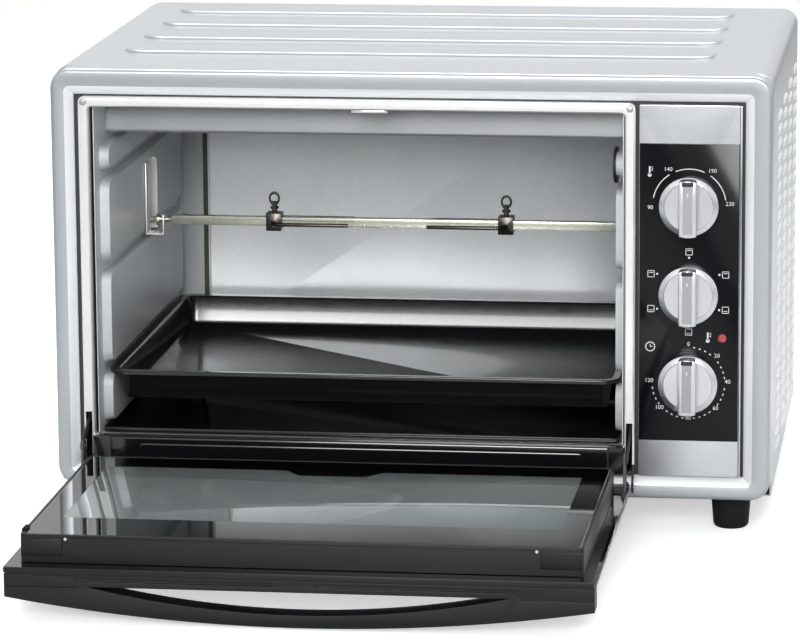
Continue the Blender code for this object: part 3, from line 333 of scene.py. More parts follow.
def softened(obj, width, segments=3, angle=35):
    """Every edge sharper than the angle rounded."""
    return changed(obj, "BEVEL", width=width, segments=segments, limit_method="ANGLE",
                   angle_limit=math.radians(angle), miter_outer="MITER_ARC")


def merged(base, *others):
    """Objects joined into one, each part keeping its own shell."""
    alone(base)
    for other in others:
        other.select_set(True)
    bpy.context.view_layer.objects.active = base
    bpy.ops.object.join()
    return base


def boolean(base, tool, operation):
    """One exact Boolean, applied, and the tool removed."""
    changed(base, "BOOLEAN", operation=operation, object=tool, solver="EXACT")
    bpy.data.objects.remove(tool, do_unlink=True)
    return base


def copied(obj, move=(0, 0, 0)):
    """A copy with its own mesh, moved in its mesh."""
    twin = obj.copy()
    twin.data = obj.data.copy()
    bpy.context.scene.collection.objects.link(twin)
    twin.data.transform(Matrix.Translation(Vector(move)))
    return twin


def outward(obj):
    """Doubles merged and faces turned outwards."""
    choose(obj)
    bpy.ops.mesh.remove_doubles(threshold=0.00001)
    bpy.ops.mesh.normals_make_consistent(inside=False)
    leave()
    return obj


def capped(obj):
    """An open outline closed by one face at its back."""
    choose(obj, "EDGE", lambda e: e.is_boundary)
    bpy.ops.mesh.edge_face_add()
    leave()
    return outward(obj)


def repeated(model, places):
    """One object with a copy of the model at each place. The model is removed."""
    twins = [copied(model, place) for place in places]
    bpy.data.objects.remove(model, do_unlink=True)
    return merged(twins[0], *twins[1:])


def two_tone(obj, material, test):
    """Give the faces that pass the test a second finish."""
    obj.data.materials.append(material)
    for face in obj.data.polygons:
        if test(face):
            face.material_index = 1


def moved(obj, offset, test):
    """Shift the chosen vertices."""
    choose(obj, "VERT", test)
    bpy.ops.transform.translate(value=offset)
    leave()


def piece(obj, name, body, material, stands_for=(), angle=35):
    """Name a finished object, smooth it, give it its finish and let it ride on its body."""
    obj.name = obj.data.name = name
    obj.data.materials.clear()
    obj.data.materials.append(material)
    alone(obj)
    bpy.ops.object.shade_smooth_by_angle(angle=math.radians(angle))
    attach(obj, body)
    if stands_for:
        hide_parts(*stands_for)
    return obj


def formed(name, material, width=0.4 * MM, segments=2, angle=35):
    """A merged copy of a CAD node with its edges rounded, which stands for that node."""
    made = bpy.data.objects.new("work", NODES[name].data.copy())
    bpy.context.scene.collection.objects.link(made)
    choose(made)
    bpy.ops.mesh.remove_doubles(threshold=0.00001)
    bpy.ops.mesh.tris_convert_to_quads(face_threshold=math.radians(1), shape_threshold=math.pi)
    leave()
    if width:
        softened(made, width, segments, angle)
    return piece(made, f"{name}_formed", BODY_OF[name], material, (name,))


# ---- finishes -----------------------------------------------------------------------
def node(tree, kind, inputs=None, **settings):
    """Add a shader node: its own settings, and a value or a source socket for each input."""
    made = tree.nodes.new("ShaderNode" + kind)
    for name, value in settings.items():
        setattr(made, name, value)
    for name, value in (inputs or {}).items():
        socket = made.inputs[name]
        if isinstance(value, bpy.types.NodeSocket):
            tree.links.new(value, socket)
        else:
            socket.default_value = value
    return made


def per(size):
    """Noise scale that gives features of about this size."""
    return 1 / size


def finish(name, base, second, grain, metallic, roughness, spread, bump, stretch=(1, 1, 1),
           centre=(0, 0, 0), pattern="NOISE", detail=4, **shader_values):
    """A surface whose colour, roughness and height vary together with one real-size grain.

    base and second are the two colours it wavers between, grain is its size in metres, spread
    how far roughness wavers, bump the height of the relief in metres.
    """
    made = bpy.data.materials.new(name)
    made.use_nodes = True
    tree = made.node_tree
    tree.nodes.clear()
    place = node(tree, "TexCoord").outputs["Object"]
    laid = node(tree, "Mapping", {"Vector": place, "Scale": stretch,
                                  "Location": [-c * s for c, s in zip(centre, stretch)]}).outputs[0]
    if pattern == "NOISE":
        value = node(tree, "TexNoise", {"Vector": laid, "Scale": per(grain), "Detail": detail,
                                        "Roughness": 0.6}).outputs["Fac"]
    elif pattern == "CELLS":
        cells = node(tree, "TexVoronoi", {"Vector": laid, "Scale": per(grain)}).outputs["Color"]
        value = node(tree, "SeparateColor", {"Color": cells}).outputs[0]
    else:
        rings = per(grain) * math.pi / 10
        value = node(tree, "TexWave", {"Vector": laid, "Scale": rings, "Distortion": 0.4,
                                       "Detail": 1.0}, wave_type="RINGS", rings_direction="Y",
                     wave_profile="SIN").outputs["Fac"]
    clouds = node(tree, "TexNoise", {"Vector": place, "Scale": per(60 * MM),
                                     "Detail": 3.0}).outputs["Fac"]
    tone = node(tree, "Math", {0: value, 1: clouds}, operation="MULTIPLY_ADD")
    tone.inputs[2].default_value = 0.22
    tint = node(tree, "Mix", {0: tone.outputs[0], 6: base, 7: second}, data_type="RGBA")
    dull = node(tree, "MapRange", {"Value": value, "To Min": roughness - spread,
                                   "To Max": roughness + spread})
    relief = node(tree, "Bump", {"Height": value, "Distance": bump, "Strength": 1.0})
    shader = node(tree, "BsdfPrincipled", {"Base Color": tint.outputs[2], "Metallic": metallic,
                                           "Roughness": dull.outputs[0],
                                           "Normal": relief.outputs[0], **shader_values})
    node(tree, "OutputMaterial", {"Surface": shader.outputs[0]})
    return made


def shade(rgba, factor):
    """A colour made lighter or darker."""
    return (*(min(1.0, c * factor) for c in rgba[:3]), 1.0)


# A colour is a hex code, or one of OvenColours with a factor.
MATERIALS = (
    # Metallic acrylic paint sprayed on pressed steel: fine flake, soft sheen, slight orange peel.
    ("silver_paint", "metallic_silver_spray_paint", ("paint", 0.94), ("paint", 1.05),
     0.9, 0.82, 0.34, 0.05, 0.004, {"Coat Weight": 0.3, "Coat Roughness": 0.16}),
    # The same paint, paler and smoother: a painted highlight on the louvre rims and on the front
    # frame's inner slope.
    ("highlit_paint", "burnished_silver_paint", "dfe2e4", "eceef0",
     0.9, 0.25, 0.3, 0.05, 0.003, {"Coat Weight": 0.3, "Coat Roughness": 0.12}),
    # Stainless sheet brushed along its length: streaks a few centimetres long, sharp across.
    ("brushed_stainless", "brushed_stainless_steel_sheet", ("stainless", 0.9), ("stainless", 1.06),
     0.5, 1.0, 0.3, 0.07, 0.003, {"stretch": (0.02, 1, 1), "detail": 3}),
    # The ring is brushed too, with a brighter, finer cut.
    ("ring_stainless", "linished_stainless_steel_ring", "dcdcdc", "ececec",
     0.6, 0.55, 0.3, 0.06, 0.002, {"stretch": (0.05, 1, 1), "detail": 3}),
    # Hot-dip aluminised steel: cloudy spangle that goes darker and duller in patches.
    ("aluminised_steel", "hot_dip_aluminised_steel", ("aluminised", 0.78), ("aluminised", 1.15),
     3.2, 0.3, 0.36, 0.08, 0.012, {"detail": 6}),
    # A darker, slightly rougher copy of the aluminised steel for the baffle: painted shade.
    ("shaded_aluminised", "heat_dulled_aluminised_steel", ("aluminised", 0.26), ("aluminised", 0.36),
     3.2, 0.7, 0.42, 0.08, 0.01, {"detail": 6}),
    # Bright zinc on the small brackets in the cavity.
    ("bright_zinc", "bright_zinc_bracket", "b9bcb8", "d4d6d2", 2.4, 0.8, 0.36, 0.06, 0.004, {}),
    # Zinc-plated pressed steel: small grey spangle.
    ("zinc_steel", "zinc_plated_steel", "8d9090", "b7b9b8",
     2.4, 0.95, 0.42, 0.08, 0.006, {"pattern": "CELLS"}),
    # Dark olive strip along the joint between two sheets: painted shade and reflection in the
    # joint's groove.
    ("seam_joint", "heat_stained_joint", "34362a", "4c4e3c", 4, 0.6, 0.45, 0.08, 0.004, {}),
    # Dark grey steel for the hinges, and for the fascia behind the front frame, where its darkness
    # is painted shade in the groove round the frame.
    ("shadow_plate", "dark_primed_steel", "303234", "3c3e41", 1.5, 0.3, 0.55, 0.05, 0.005, {}),
    # Bright chromium plate: near mirror with faint wipe marks.
    ("chrome", "polished_chrome_plate", "c9cacb", "dededf", 5, 1.0, 0.13, 0.04, 0.001, {}),
    # The spit's nickel, gone slightly olive from roasting.
    ("spit_nickel", "worn_nickel_plated_spit", "a9ac9c", "c3c5b8",
     6, 0.85, 0.26, 0.05, 0.0004, {"detail": 2}),
    # Nickel-plated steel of the forks, browned by heat.
    ("heated_nickel", "heat_browned_nickel_plate", "33312f", "5e5a56",
     2.2, 1.0, 0.3, 0.1, 0.006, {}),
    # The channel along a dial's grip: the same satin silver, rougher, and painted darker as shade
    # in the channel.
    ("grip_channel", "bead_blasted_grip_channel", "8f9193", "a2a4a6",
     0.7, 0.9, 0.4, 0.06, 0.004, {}),
    # Injection-moulded ABS in black with a spark-eroded grain.
    ("black_plastic", "grained_black_moulded_plastic", ("plastic", 0.85), ("plastic", 1.35),
     0.7, 0.0, 0.4, 0.07, 0.02, {"Specular IOR Level": 0.28}),
    # Vitreous enamel fired on steel: deep gloss with orange peel.
    ("black_enamel", "fired_black_vitreous_enamel", ("enamel", 0.8), ("enamel", 1.7),
     3.5, 0.0, 0.16, 0.05, 0.02, {"detail": 2, "Coat Weight": 0.4, "Coat Roughness": 0.05}),
    # Moulded rubber: dull, with a fine powdery bloom.
    ("black_rubber", "moulded_black_rubber", "09090a", "151516",
     0.6, 0.0, 0.72, 0.08, 0.02, {"Specular IOR Level": 0.2}),
    # Tubular heater sheath, dark oxide over steel.
    ("heater_sheath", "oxidised_heater_tube", "2c2a28", "57524c",
     2, 0.85, 0.45, 0.12, 0.01, {}),
    # Reverse-printed gloss film.
    ("gloss_black", "gloss_black_printed_film", ("overlay", 0.85), ("overlay", 1.3),
     40, 0.0, 0.1, 0.03, 0.002, {"Specular IOR Level": 0.2}),
    # Ceramic ink fired on the glass.
    ("fired_ink", "fired_black_ceramic_ink", "060607", "0d0d0f",
     1.2, 0.0, 0.04, 0.02, 0.002, {}),
    # Screen-printed scales in pale ink. The near-black below is painted shade in small recesses,
    # such as the notch on each dial; the lamp blank wears it too.
    ("white_ink", "screen_printed_pale_ink", "c4c6c8", "dadcdd",
     0.4, 0.0, 0.5, 0.05, 0.002, {}),
    ("near_black_and_recess_shade", "dark_filled_recess", "0c0d0e", "17181a", 0.4, 0.0, 0.5, 0.05, 0.002, {}),
    # Phenolic resin moulding, brown.
    ("phenolic", "pressed_brown_phenolic", "3b2417", "513322", 0.8, 0.0, 0.45, 0.08, 0.01, {}),
    # Toughened glass with a grey tint: clear, polished, with the faint waves of tempering.
    # The inner pane lets only part of its light through; the rest is a thin grey veil of diffuse
    # tint, a painted reflection of the cavity.
    ("inner_glass", "toughened_inner_glass", ("tint", 0.98), ("tint", 1.02),
     60, 0.0, 0.012, 0.006, 0.001, {"detail": 1, "Transmission Weight": 0.8, "IOR": 1.5}),
    ("outer_glass", "toughened_outer_glass", ("tint", 0.72, 0.98), ("tint", 0.72, 1.02),
     60, 0.0, 0.012, 0.006, 0.001, {"detail": 1, "Transmission Weight": 1.0, "IOR": 1.5}),
    # Clear red acrylic over a glow lamp.
    ("red_lens", "moulded_red_acrylic_lens", "b0303a", "d0606a", 1.1, 0.0, 0.16, 0.04, 0.05,
     {"pattern": "CELLS", "Transmission Weight": 0.25, "IOR": 1.49}),
)
GLASS_SHADOWS = {"inner_glass": ("tint", 0.8), "outer_glass": ("tint", 0.72, 0.8)}


def tone_of(colours, tone):
    """The colour that a row gives, as a hex code or as a setting with its factors."""
    if isinstance(tone, str):
        return linear(tone)
    setting, *factors = tone
    rgba = getattr(colours, setting)
    for factor in factors:
        rgba = shade(rgba, factor)
    return rgba


def finishes(colours):
    """Every material, by name."""
    made = {}
    for key, name, base, second, grain, metallic, roughness, spread, relief, more in MATERIALS:
        made[key] = finish(name, tone_of(colours, base), tone_of(colours, second), grain * MM,
                           metallic, roughness, spread, relief * MM, **more)
    for key, tint in GLASS_SHADOWS.items():
        let_light_through(made[key], tone_of(colours, tint))
    return made


def surface_of(tree):
    """The Surface socket of a material's output."""
    return next(n for n in tree.nodes if n.type == "OUTPUT_MATERIAL").inputs["Surface"]


def is_ray(tree, *kinds):
    """1 on rays of these kinds, and 0 on all others."""
    path = node(tree, "LightPath")
    seen = path.outputs[f"Is {kinds[0]} Ray"]
    for kind in kinds[1:]:
        seen = node(tree, "Math", {0: seen, 1: path.outputs[f"Is {kind} Ray"]},
                    operation="MAXIMUM").outputs[0]
    return seen


def let_light_through(glass, tint):
    """Glass that casts only a tinted shadow, as a clear pane does."""
    tree = glass.node_tree
    end = surface_of(tree)
    clear = node(tree, "BsdfTransparent", {"Color": tint})
    mixed = node(tree, "MixShader", {0: is_ray(tree, "Shadow"), 1: end.links[0].from_socket,
                                     2: clear.outputs[0]})
    tree.links.new(mixed.outputs[0], end)


def turned_silver(place, tag):
    """Satin silver with the concentric lines of a facing lathe, about one dial's centre."""
    # Lines 0.8 mm apart, coarser than a real facing cut, so that they show.
    return finish(f"lathe_faced_satin_silver_{tag}", linear("c2c4c7"), linear("d4d6d9"), 0.8 * MM,
                  1.0, 0.27, 0.05, 0.003 * MM, centre=place, pattern="RINGS")


# ---- pieces -------------------------------------------------------------------------
class OVEN_OT_finishes(bpy.types.Operator):
    """Make the materials, and give each CAD node the one of its material slot"""
    bl_idname = "oven.finishes"
    bl_label = "Finishes"

    def execute(self, context):
        FINISH.update(finishes(context.scene.oven_colours))
        FINISH["satin_silver"] = FINISH["chrome"]
        FINISH["black_glass"] = FINISH["outer_glass"]
        FINISH["clear_glass"] = FINISH["inner_glass"]
        for name, obj in NODES.items():
            obj.data.materials.clear()
            obj.data.materials.append(FINISH[SLOT_OF[name]])
        # The fascia's dark steel is painted shade in the groove behind the front frame.
        NODES["fascia_plate"].data.materials[0] = FINISH["shadow_plate"]
        return {"FINISHED"}


class OVEN_OT_casing(bpy.types.Operator):
    """Bend the casing sheet, press its ribs and cut its side louvres"""
    bl_idname = "oven.casing"
    bl_label = "Casing"

    def rib(self, sizes, top):
        """One long rib with soft slopes, closed underneath inside the sheet."""
        start, left, right = 88 * MM + FRONT, -238 * MM, 226 * MM
        low = top - 0.6 * MM
        made = flat((left, start, low), (right, start + sizes.rib_width, low), 20 * MM, 8)
        rise = sizes.rib_height + 0.6 * MM
        stepped(made, [(0.7 * MM, rise * 0.35), (0.7 * MM, rise * 0.35), (0.8 * MM, rise * 0.2),
                       (1.0 * MM, rise * 0.1)])
        return capped(made)

    def execute(self, context):
        sizes = context.scene.oven_casing
        low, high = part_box("outer_shell")
        top = high.z - sizes.rib_height
        sheet = box(low, (high.x, high.y, top))
        removed(sheet, lambda f: abs(f.normal.y) > 0.5 or f.normal.z < -0.5)
        rounded_edges(sheet, sizes.corner, 8,
                      lambda e: all(v.co.z > top - MM for v in e.verts) and abs(middle(e).x) > 0.2)
        for side in (-1, 1):
            choose(sheet, "EDGE", lambda e: middle(e).z < low.z + MM and middle(e).x * side > 0
                   and abs(e.verts[0].co.z - e.verts[1].co.z) < MM)
            pulled((-side * 9 * MM, 0, 0))
            leave()
        self.louvres(sheet, sizes)
        changed(sheet, "SOLIDIFY", thickness=sizes.sheet, offset=-1, use_even_offset=True)
        rib = self.rib(sizes, top)
        ribs = [copied(rib, (0, i * sizes.rib_pitch, 0)) for i in range(1, sizes.rib_count)]
        boolean(sheet, merged(rib, *ribs), "UNION")
        piece(sheet, "casing_sheet", "oven_body", FINISH["silver_paint"],
              ("outer_shell",), 38)
        # The pressed-out louvre rims get the paler paint: a painted highlight.
        two_tone(sheet, FINISH["highlit_paint"], lambda f: abs(f.center.x) > high.x + 0.2 * MM)
        return {"FINISHED"}

    def louvres(self, sheet, sizes):
        """Rows of short slots with pressed-out rims, cut in both sides at once."""
        first, column_pitch, slot = 78 * MM + FRONT, 84 * MM, 34 * MM
        upper, row_pitch, tall = 285 * MM + FLOOR, 11.2 * MM, 5 * MM
        starts = [first + i * column_pitch for i in range(sizes.louvre_columns)]
        tops = [upper - i * row_pitch for i in range(sizes.louvre_rows)]
        cuts = [((0, edge, 0), (0, 1, 0)) for s in starts for edge in (s, s + slot)]
        cuts += [((0, 0, edge), (0, 0, 1)) for t in tops for edge in (t, t - tall)]
        for place, normal in cuts:
            choose(sheet)
            bpy.ops.mesh.bisect(plane_co=place, plane_no=normal)
            leave()

        def is_slot(face):
            spot = middle(face)
            return (abs(face.normal.x) > 0.9 and any(s < spot.y < s + slot for s in starts)
                    and any(t - tall < spot.z < t for t in tops))
        choose(sheet, "FACE", is_slot)
        bpy.ops.mesh.inset(thickness=0.9 * MM, depth=sizes.louvre_rise, use_individual=True)
        bpy.ops.mesh.inset(thickness=1.35 * MM, depth=0, use_individual=True)
        bpy.ops.mesh.inset(thickness=0.1 * MM, depth=-2.4 * MM, use_individual=True)
        bpy.ops.mesh.delete(type="FACE")
        leave()


class OVEN_OT_front_frame(bpy.types.Operator):
    """Press the front frame: round border, flat, and an inner slope with a painted highlight"""
    bl_idname = "oven.front_frame"
    bl_label = "Front frame"

    def execute(self, context):
        sizes = context.scene.oven_casing
        low, high = FRAME_LOW, FRAME_HIGH
        made = flat((low.x, high.y, low.z), (high.x, high.y, high.z), 15 * MM, 8)
        choose(made)
        pulled((0, low.y - high.y, 0))
        leave()
        front = low.y + 0.01 * MM
        removed(made, lambda f: all(v.co.y > high.y - MM for v in f.verts))
        rounded_edges(made, sizes.border_round, 7, before(front))
        stepped(made, [(7.4 * MM, 0)], lambda f: before(front)(f) and len(f.verts) > 4)
        # The panel side is wider, and the top is deeper than the floor side.
        centre, half = (low + high) / 2, (high - low) / 2

        def within(spot, border):
            return (abs(spot.x - centre.x) < half.x - border
                    and abs(spot.z - centre.z) < half.z - border)
        inner = lambda v: v.co.y < front and within(v.co, 8 * MM)
        moved(made, (-3.1 * MM, 0, 0), lambda v: inner(v) and v.co.x > 0.2)
        moved(made, (0, 0, -2.5 * MM), lambda v: inner(v) and v.co.z > centre.z + 0.1)
        stepped(made, [(0.5 * MM, -0.15 * MM), (5.4 * MM, -3.6 * MM), (0.9 * MM, -1.2 * MM),
                       (0.1 * MM, -2.4 * MM)],
                lambda f: all(inner(v) for v in f.verts) and len(f.verts) > 4, hollow=True)
        outward(made)
        changed(made, "SOLIDIFY", thickness=1.3 * MM, offset=-1, use_even_offset=True)
        piece(made, "front_frame_pressing", "oven_body", FINISH["silver_paint"],
              ("front_frame",), 30)
        # The inner slope gets the paler paint: a painted highlight.
        two_tone(made, FINISH["highlit_paint"],
                 lambda f: within(f.center, 7.5 * MM) and f.center.y < low.y + 6 * MM
                 and 0.1 < abs(f.normal.y) < 0.98)
        return {"FINISHED"}


class OVEN_OT_opening_ring(bpy.types.Operator):
    """Finish the ring round the oven's mouth, its black sill and its rivets"""
    bl_idname = "oven.opening_ring"
    bl_label = "Opening ring"

    def execute(self, context):
        ring = formed("opening_ring", FINISH["ring_stainless"], 0.5 * MM, 3)
        two_tone(ring, FINISH["black_enamel"], lambda f: f.center.z < RING_SILL)
        # The sill's cover lies just in front of the ring between the two hinge slots.
        low, high = at(-234.0, -2.2, 19.2), at(152.4, -1.0, 38.9)
        sill = flat((low.x, high.y, low.z), (high.x, high.y, high.z), 1 * MM, 2)
        stepped(sill, [(0.5 * MM, 0.25 * MM), (0.6 * MM, 0.15 * MM)])
        capped(sill)
        ridge = flat(at(-210, -1.2, 29.6), at(132, -1.2, 34.6), 2.2 * MM, 4)
        stepped(ridge, [(0.6 * MM, 0.4 * MM), (0.8 * MM, 0.15 * MM)])
        capped(ridge)
        lip = box(at(-234.0, -1.2, 39.35), at(152.4, 8.0, 39.6))
        merged(sill, ridge, lip)
        piece(sill, "sill_cover", "oven_body", FINISH["black_enamel"])
        rivet = drum(at(0, -RIVET_PROUD / MM / 2, 0), "y", 2.6 * MM, RIVET_PROUD, 24)
        rounded_edges(rivet, 0.7 * MM, 3, before(FRONT - 0.6 * MM))
        rivets = repeated(rivet, [(x * MM, -0.9 * MM, 299.8 * MM) for x in (-249.4, 168.0)])
        piece(rivets, "ring_rivets", "oven_body", FINISH["zinc_steel"])
        return {"FINISHED"}


class OVEN_OT_control_panel(bpy.types.Operator):
    """Build the control strip, its trim, gloss film, printed scales and pilot lamp"""
    bl_idname = "oven.control_panel"
    bl_label = "Control panel"

    def execute(self, context):
        sizes = context.scene.oven_controls
        formed("control_panel", FINISH["brushed_stainless"], 0.4 * MM, 3)
        film_low, film_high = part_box("control_overlay")
        film = flat((film_low.x, film_high.y, film_low.z), film_high, 0.6 * MM, 3)
        raised(film, film_high.y - film_low.y, 0.25 * MM)
        piece(film, "control_film", "oven_body", FINISH["gloss_black"],
              ("control_overlay",))
        trim = box(at(250.9, 0.2, 18), at(252.3, 3.0, 303))
        softened(trim, 0.5 * MM, 3)
        piece(trim, "panel_trim", "oven_body", FINISH["chrome"])
        (low, high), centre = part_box("pilot_lamp"), centre_of("pilot_lamp")
        lens = drum((centre.x, low.y + 4 * MM, centre.z), "y", (high.x - low.x) / 2, 8 * MM, 40)
        rounded_edges(lens, 1.3 * MM, 5, before(low.y + MM))
        piece(lens, "pilot_lens", "oven_body", FINISH["red_lens"], ("pilot_lamp",))
        self.scales(sizes, film_low.y)
        return {"FINISHED"}

    def scales(self, sizes, front):
        """The printed scales: arcs, numbers and small signs round each dial."""
        ink = Ink(front - 0.04 * MM, sizes)
        heat, mode, time = (centre_of(name) for name in DIALS)
        for first, last in ((169, 123), (112, 66), (55, 9)):
            ink.arc(heat, sizes.scale_radius, first, last)
        for text, x, z in (("90", -29.4, -2), ("140", -16, 27.2), ("190", 17.2, 26.4),
                           ("230", 30.5, 1.4)):
            ink.text(heat, x, z, text)
        ink.thermometer(heat, -29.9, 25.2)
        for x, z in ((0, 28), (22.9, 15.3), (22.9, -11.7), (-23.9, 15.3), (-23.9, -11.5),
                     (0, -24.7)):
            ink.dot(mode, x, z, 0.8)
        for x, z in ((0, 32.5), (0, -29), (27.6, 15.3), (27.6, -11.7), (-28.6, 15.3),
                     (-28.6, -11.5)):
            ink.oven_sign(mode, x, z)
        for text, x, z in (("0", 0, 30), ("20", 21.5, 21.3), ("40", 29.7, 1.4), ("60", 20.7, -19.2),
                           ("80", 0, -27.2), ("100", -21.9, -19.4), ("120", -29.9, 1.4)):
            ink.text(time, x, z, text)
        for step in range(6):
            for tick in (1, 2, 3, 4):
                angle = 90 - 45 * step - 9 * tick
                ink.arc(time, sizes.scale_radius, angle + 1.6, angle - 1.6)
        ink.clock(time, -29, 27.6)
        ink.thermometer(time, 14.5, 35.2)
        piece(merged(ink.parts[0], *ink.parts[1:]), "panel_print", "oven_body",
              FINISH["white_ink"])


def raised(obj, depth, edge):
    """A flat outline given a thickness away from its face, with a rounded front edge."""
    front = min(v.co.y for v in obj.data.vertices)
    choose(obj)
    pulled((0, -depth, 0))
    leave()
    outward(obj)
    rounded_edges(obj, edge, 2, before(front - depth + 0.01 * MM))
    return obj


class Ink:
    """Draws thin printed marks on a plane that faces the front."""

    def __init__(self, front, sizes):
        self.front, self.sizes, self.parts = front, sizes, []

    def spot(self, centre, x, z):
        return Vector((centre.x + x * MM, self.front, centre.z + z * MM))

    def patch(self, spot, wide, tall):
        half = Vector((wide / 2, 0, tall / 2))
        self.parts.append(flat(spot - half, spot + half))
        return self.parts[-1]

    def dot(self, centre, x, z, radius):
        deselect()
        bpy.ops.mesh.primitive_circle_add(vertices=16, radius=radius * MM, fill_type="NGON",
                                          location=self.spot(centre, x, z), rotation=TURNS["y"])
        self.parts.append(settled(bpy.context.object))

    def arc(self, centre, radius, first, last):
        """A strip that follows a circle, from one angle down to another, in degrees."""
        spot = self.spot(centre, 0, 0)
        line = self.sizes.line
        made = self.patch(spot + Vector((radius, 0, 0)), line, 0.05 * MM)
        choose(made, "EDGE", lambda e: middle(e).z > spot.z + 0.01 * MM)
        sweep = math.radians(first - last)
        bpy.ops.mesh.spin(steps=max(2, round(sweep * 12)), angle=sweep, center=spot, axis=(0, 1, 0))
        bpy.ops.mesh.select_all(action="SELECT")
        bpy.ops.transform.rotate(value=math.radians(last), orient_axis="Y", center_override=spot)
        leave()

    def text(self, centre, x, z, words):
        deselect()
        bpy.ops.object.text_add(location=self.spot(centre, x, z), rotation=TURNS["y"])
        made = bpy.context.object
        made.data.body, made.data.size = words, self.sizes.numerals
        made.data.align_x, made.data.align_y = "CENTER", "CENTER"
        made.data.resolution_u = 3
        bpy.ops.object.convert(target="MESH")
        self.parts.append(settled(bpy.context.object))

    def thermometer(self, centre, x, z):
        self.patch(self.spot(centre, x, z + 1), 1.3 * MM, 6 * MM)
        self.dot(centre, x, z - 2.4, 1.5)
        for step in range(3):
            self.patch(self.spot(centre, x + 1.9, z + 1 + step * 1.3), 1.1 * MM, 0.5 * MM)

    def oven_sign(self, centre, x, z):
        """A small outlined square, open to a bar inside."""
        for side in (-1, 1):
            self.patch(self.spot(centre, x + side * 2.4, z), 0.5 * MM, 5.2 * MM)
            self.patch(self.spot(centre, x, z + side * 2.4), 5.2 * MM, 0.5 * MM)
        self.patch(self.spot(centre, x, z + (1 if z > 0 else -1)), 3 * MM, 0.5 * MM)

    def clock(self, centre, x, z):
        self.arc(centre + Vector((x * MM, 0, z * MM)), 3.4 * MM, 360, 0)
        self.patch(self.spot(centre, x, z + 1.1), 0.5 * MM, 2.2 * MM)
        self.patch(self.spot(centre, x + 0.9, z), 1.8 * MM, 0.5 * MM)


class OVEN_OT_dials(bpy.types.Operator):
    """Turn one dial with its grip and marker, and copy it to the three shafts"""
    bl_idname = "oven.dials"
    bl_label = "Dials"

    def dial(self, sizes):
        """One dial about its own centre, and the mark on it. Its back lies at y = 0."""
        radius, thick, tall = DIAL_RADIUS, DIAL_THICK, DIAL_TALL
        base = drum((0, -thick / 2, 0), "y", radius, thick, 96)
        front = lambda part: abs(middle(part).y + thick) < 0.01 * MM
        choose(base, "FACE", front)
        bpy.ops.mesh.inset(thickness=sizes.rim, depth=1.5 * MM)
        bpy.ops.mesh.inset(thickness=0.5 * MM, depth=-0.5 * MM)
        leave()
        rounded_edges(base, 0.8 * MM, 3, lambda e: front(e)
                      and math.hypot(middle(e).x, middle(e).z) > radius - 0.3 * MM)
        grip = drum((0, -thick / 2 - tall / 2, 0), "y", radius - 0.9 * MM, tall - thick, 96)
        for side in (-1, 1):
            choose(grip)
            bpy.ops.mesh.bisect(plane_co=(side * 5.6 * MM, -thick, 0), plane_no=(side, 0.09, 0),
                                use_fill=True, clear_outer=True)
            leave()
        rounded_edges(grip, sizes.grip_edge, 3, lambda e: before(-tall + 0.01 * MM)(e)
                      and any(abs(f.normal.y) < 0.5 for f in e.link_faces))
        boolean(grip, box((-3.6 * MM, -tall - MM, -19.4 * MM),
                          (3.6 * MM, -tall + CHANNEL_DEEP, 19.4 * MM)), "DIFFERENCE")
        merged(base, grip)
        # The notch is a near-black block: painted shade of its recess.
        notch = box((-4.4 * MM, -tall - 0.25 * MM, 17.6 * MM),
                    (4.4 * MM, -tall + 1.5 * MM, 21.0 * MM))
        softened(notch, 0.5 * MM, 3)
        point = box((-0.6 * MM, -tall + 0.2 * MM, 9.4 * MM),
                    (0.6 * MM, -tall + 0.8 * MM, 12.2 * MM))
        for side in (1, -1):
            moved(point, (-side * 0.4 * MM, 0, 0), lambda v: v.co.z < 10 * MM and v.co.x * side > 0)
        return base, notch, point

    def execute(self, context):
        base, notch, point = self.dial(context.scene.oven_controls)
        for name in DIALS:
            low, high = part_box(name)
            place = Vector(((low.x + high.x) / 2, high.y, (low.z + high.z) / 2))
            body, tag = BODY_OF[name], name.split("_")[0]
            dial = piece(copied(base, place), f"{tag}_dial", body, turned_silver(place, tag),
                         (name,), 30)
            channel = place.y - DIAL_TALL + CHANNEL_DEEP
            # The channel's darker silver is painted shade.
            two_tone(dial, FINISH["grip_channel"],
                     lambda f: f.normal.y < -0.99 and abs(f.center.y - channel) < 0.3 * MM)
            piece(copied(notch, place), f"{tag}_dial_notch", body, FINISH["near_black_and_recess_shade"])
            piece(copied(point, place), f"{tag}_dial_mark", body, FINISH["white_ink"])
        for spare in (base, notch, point):
            bpy.data.objects.remove(spare, do_unlink=True)
        return {"FINISHED"}


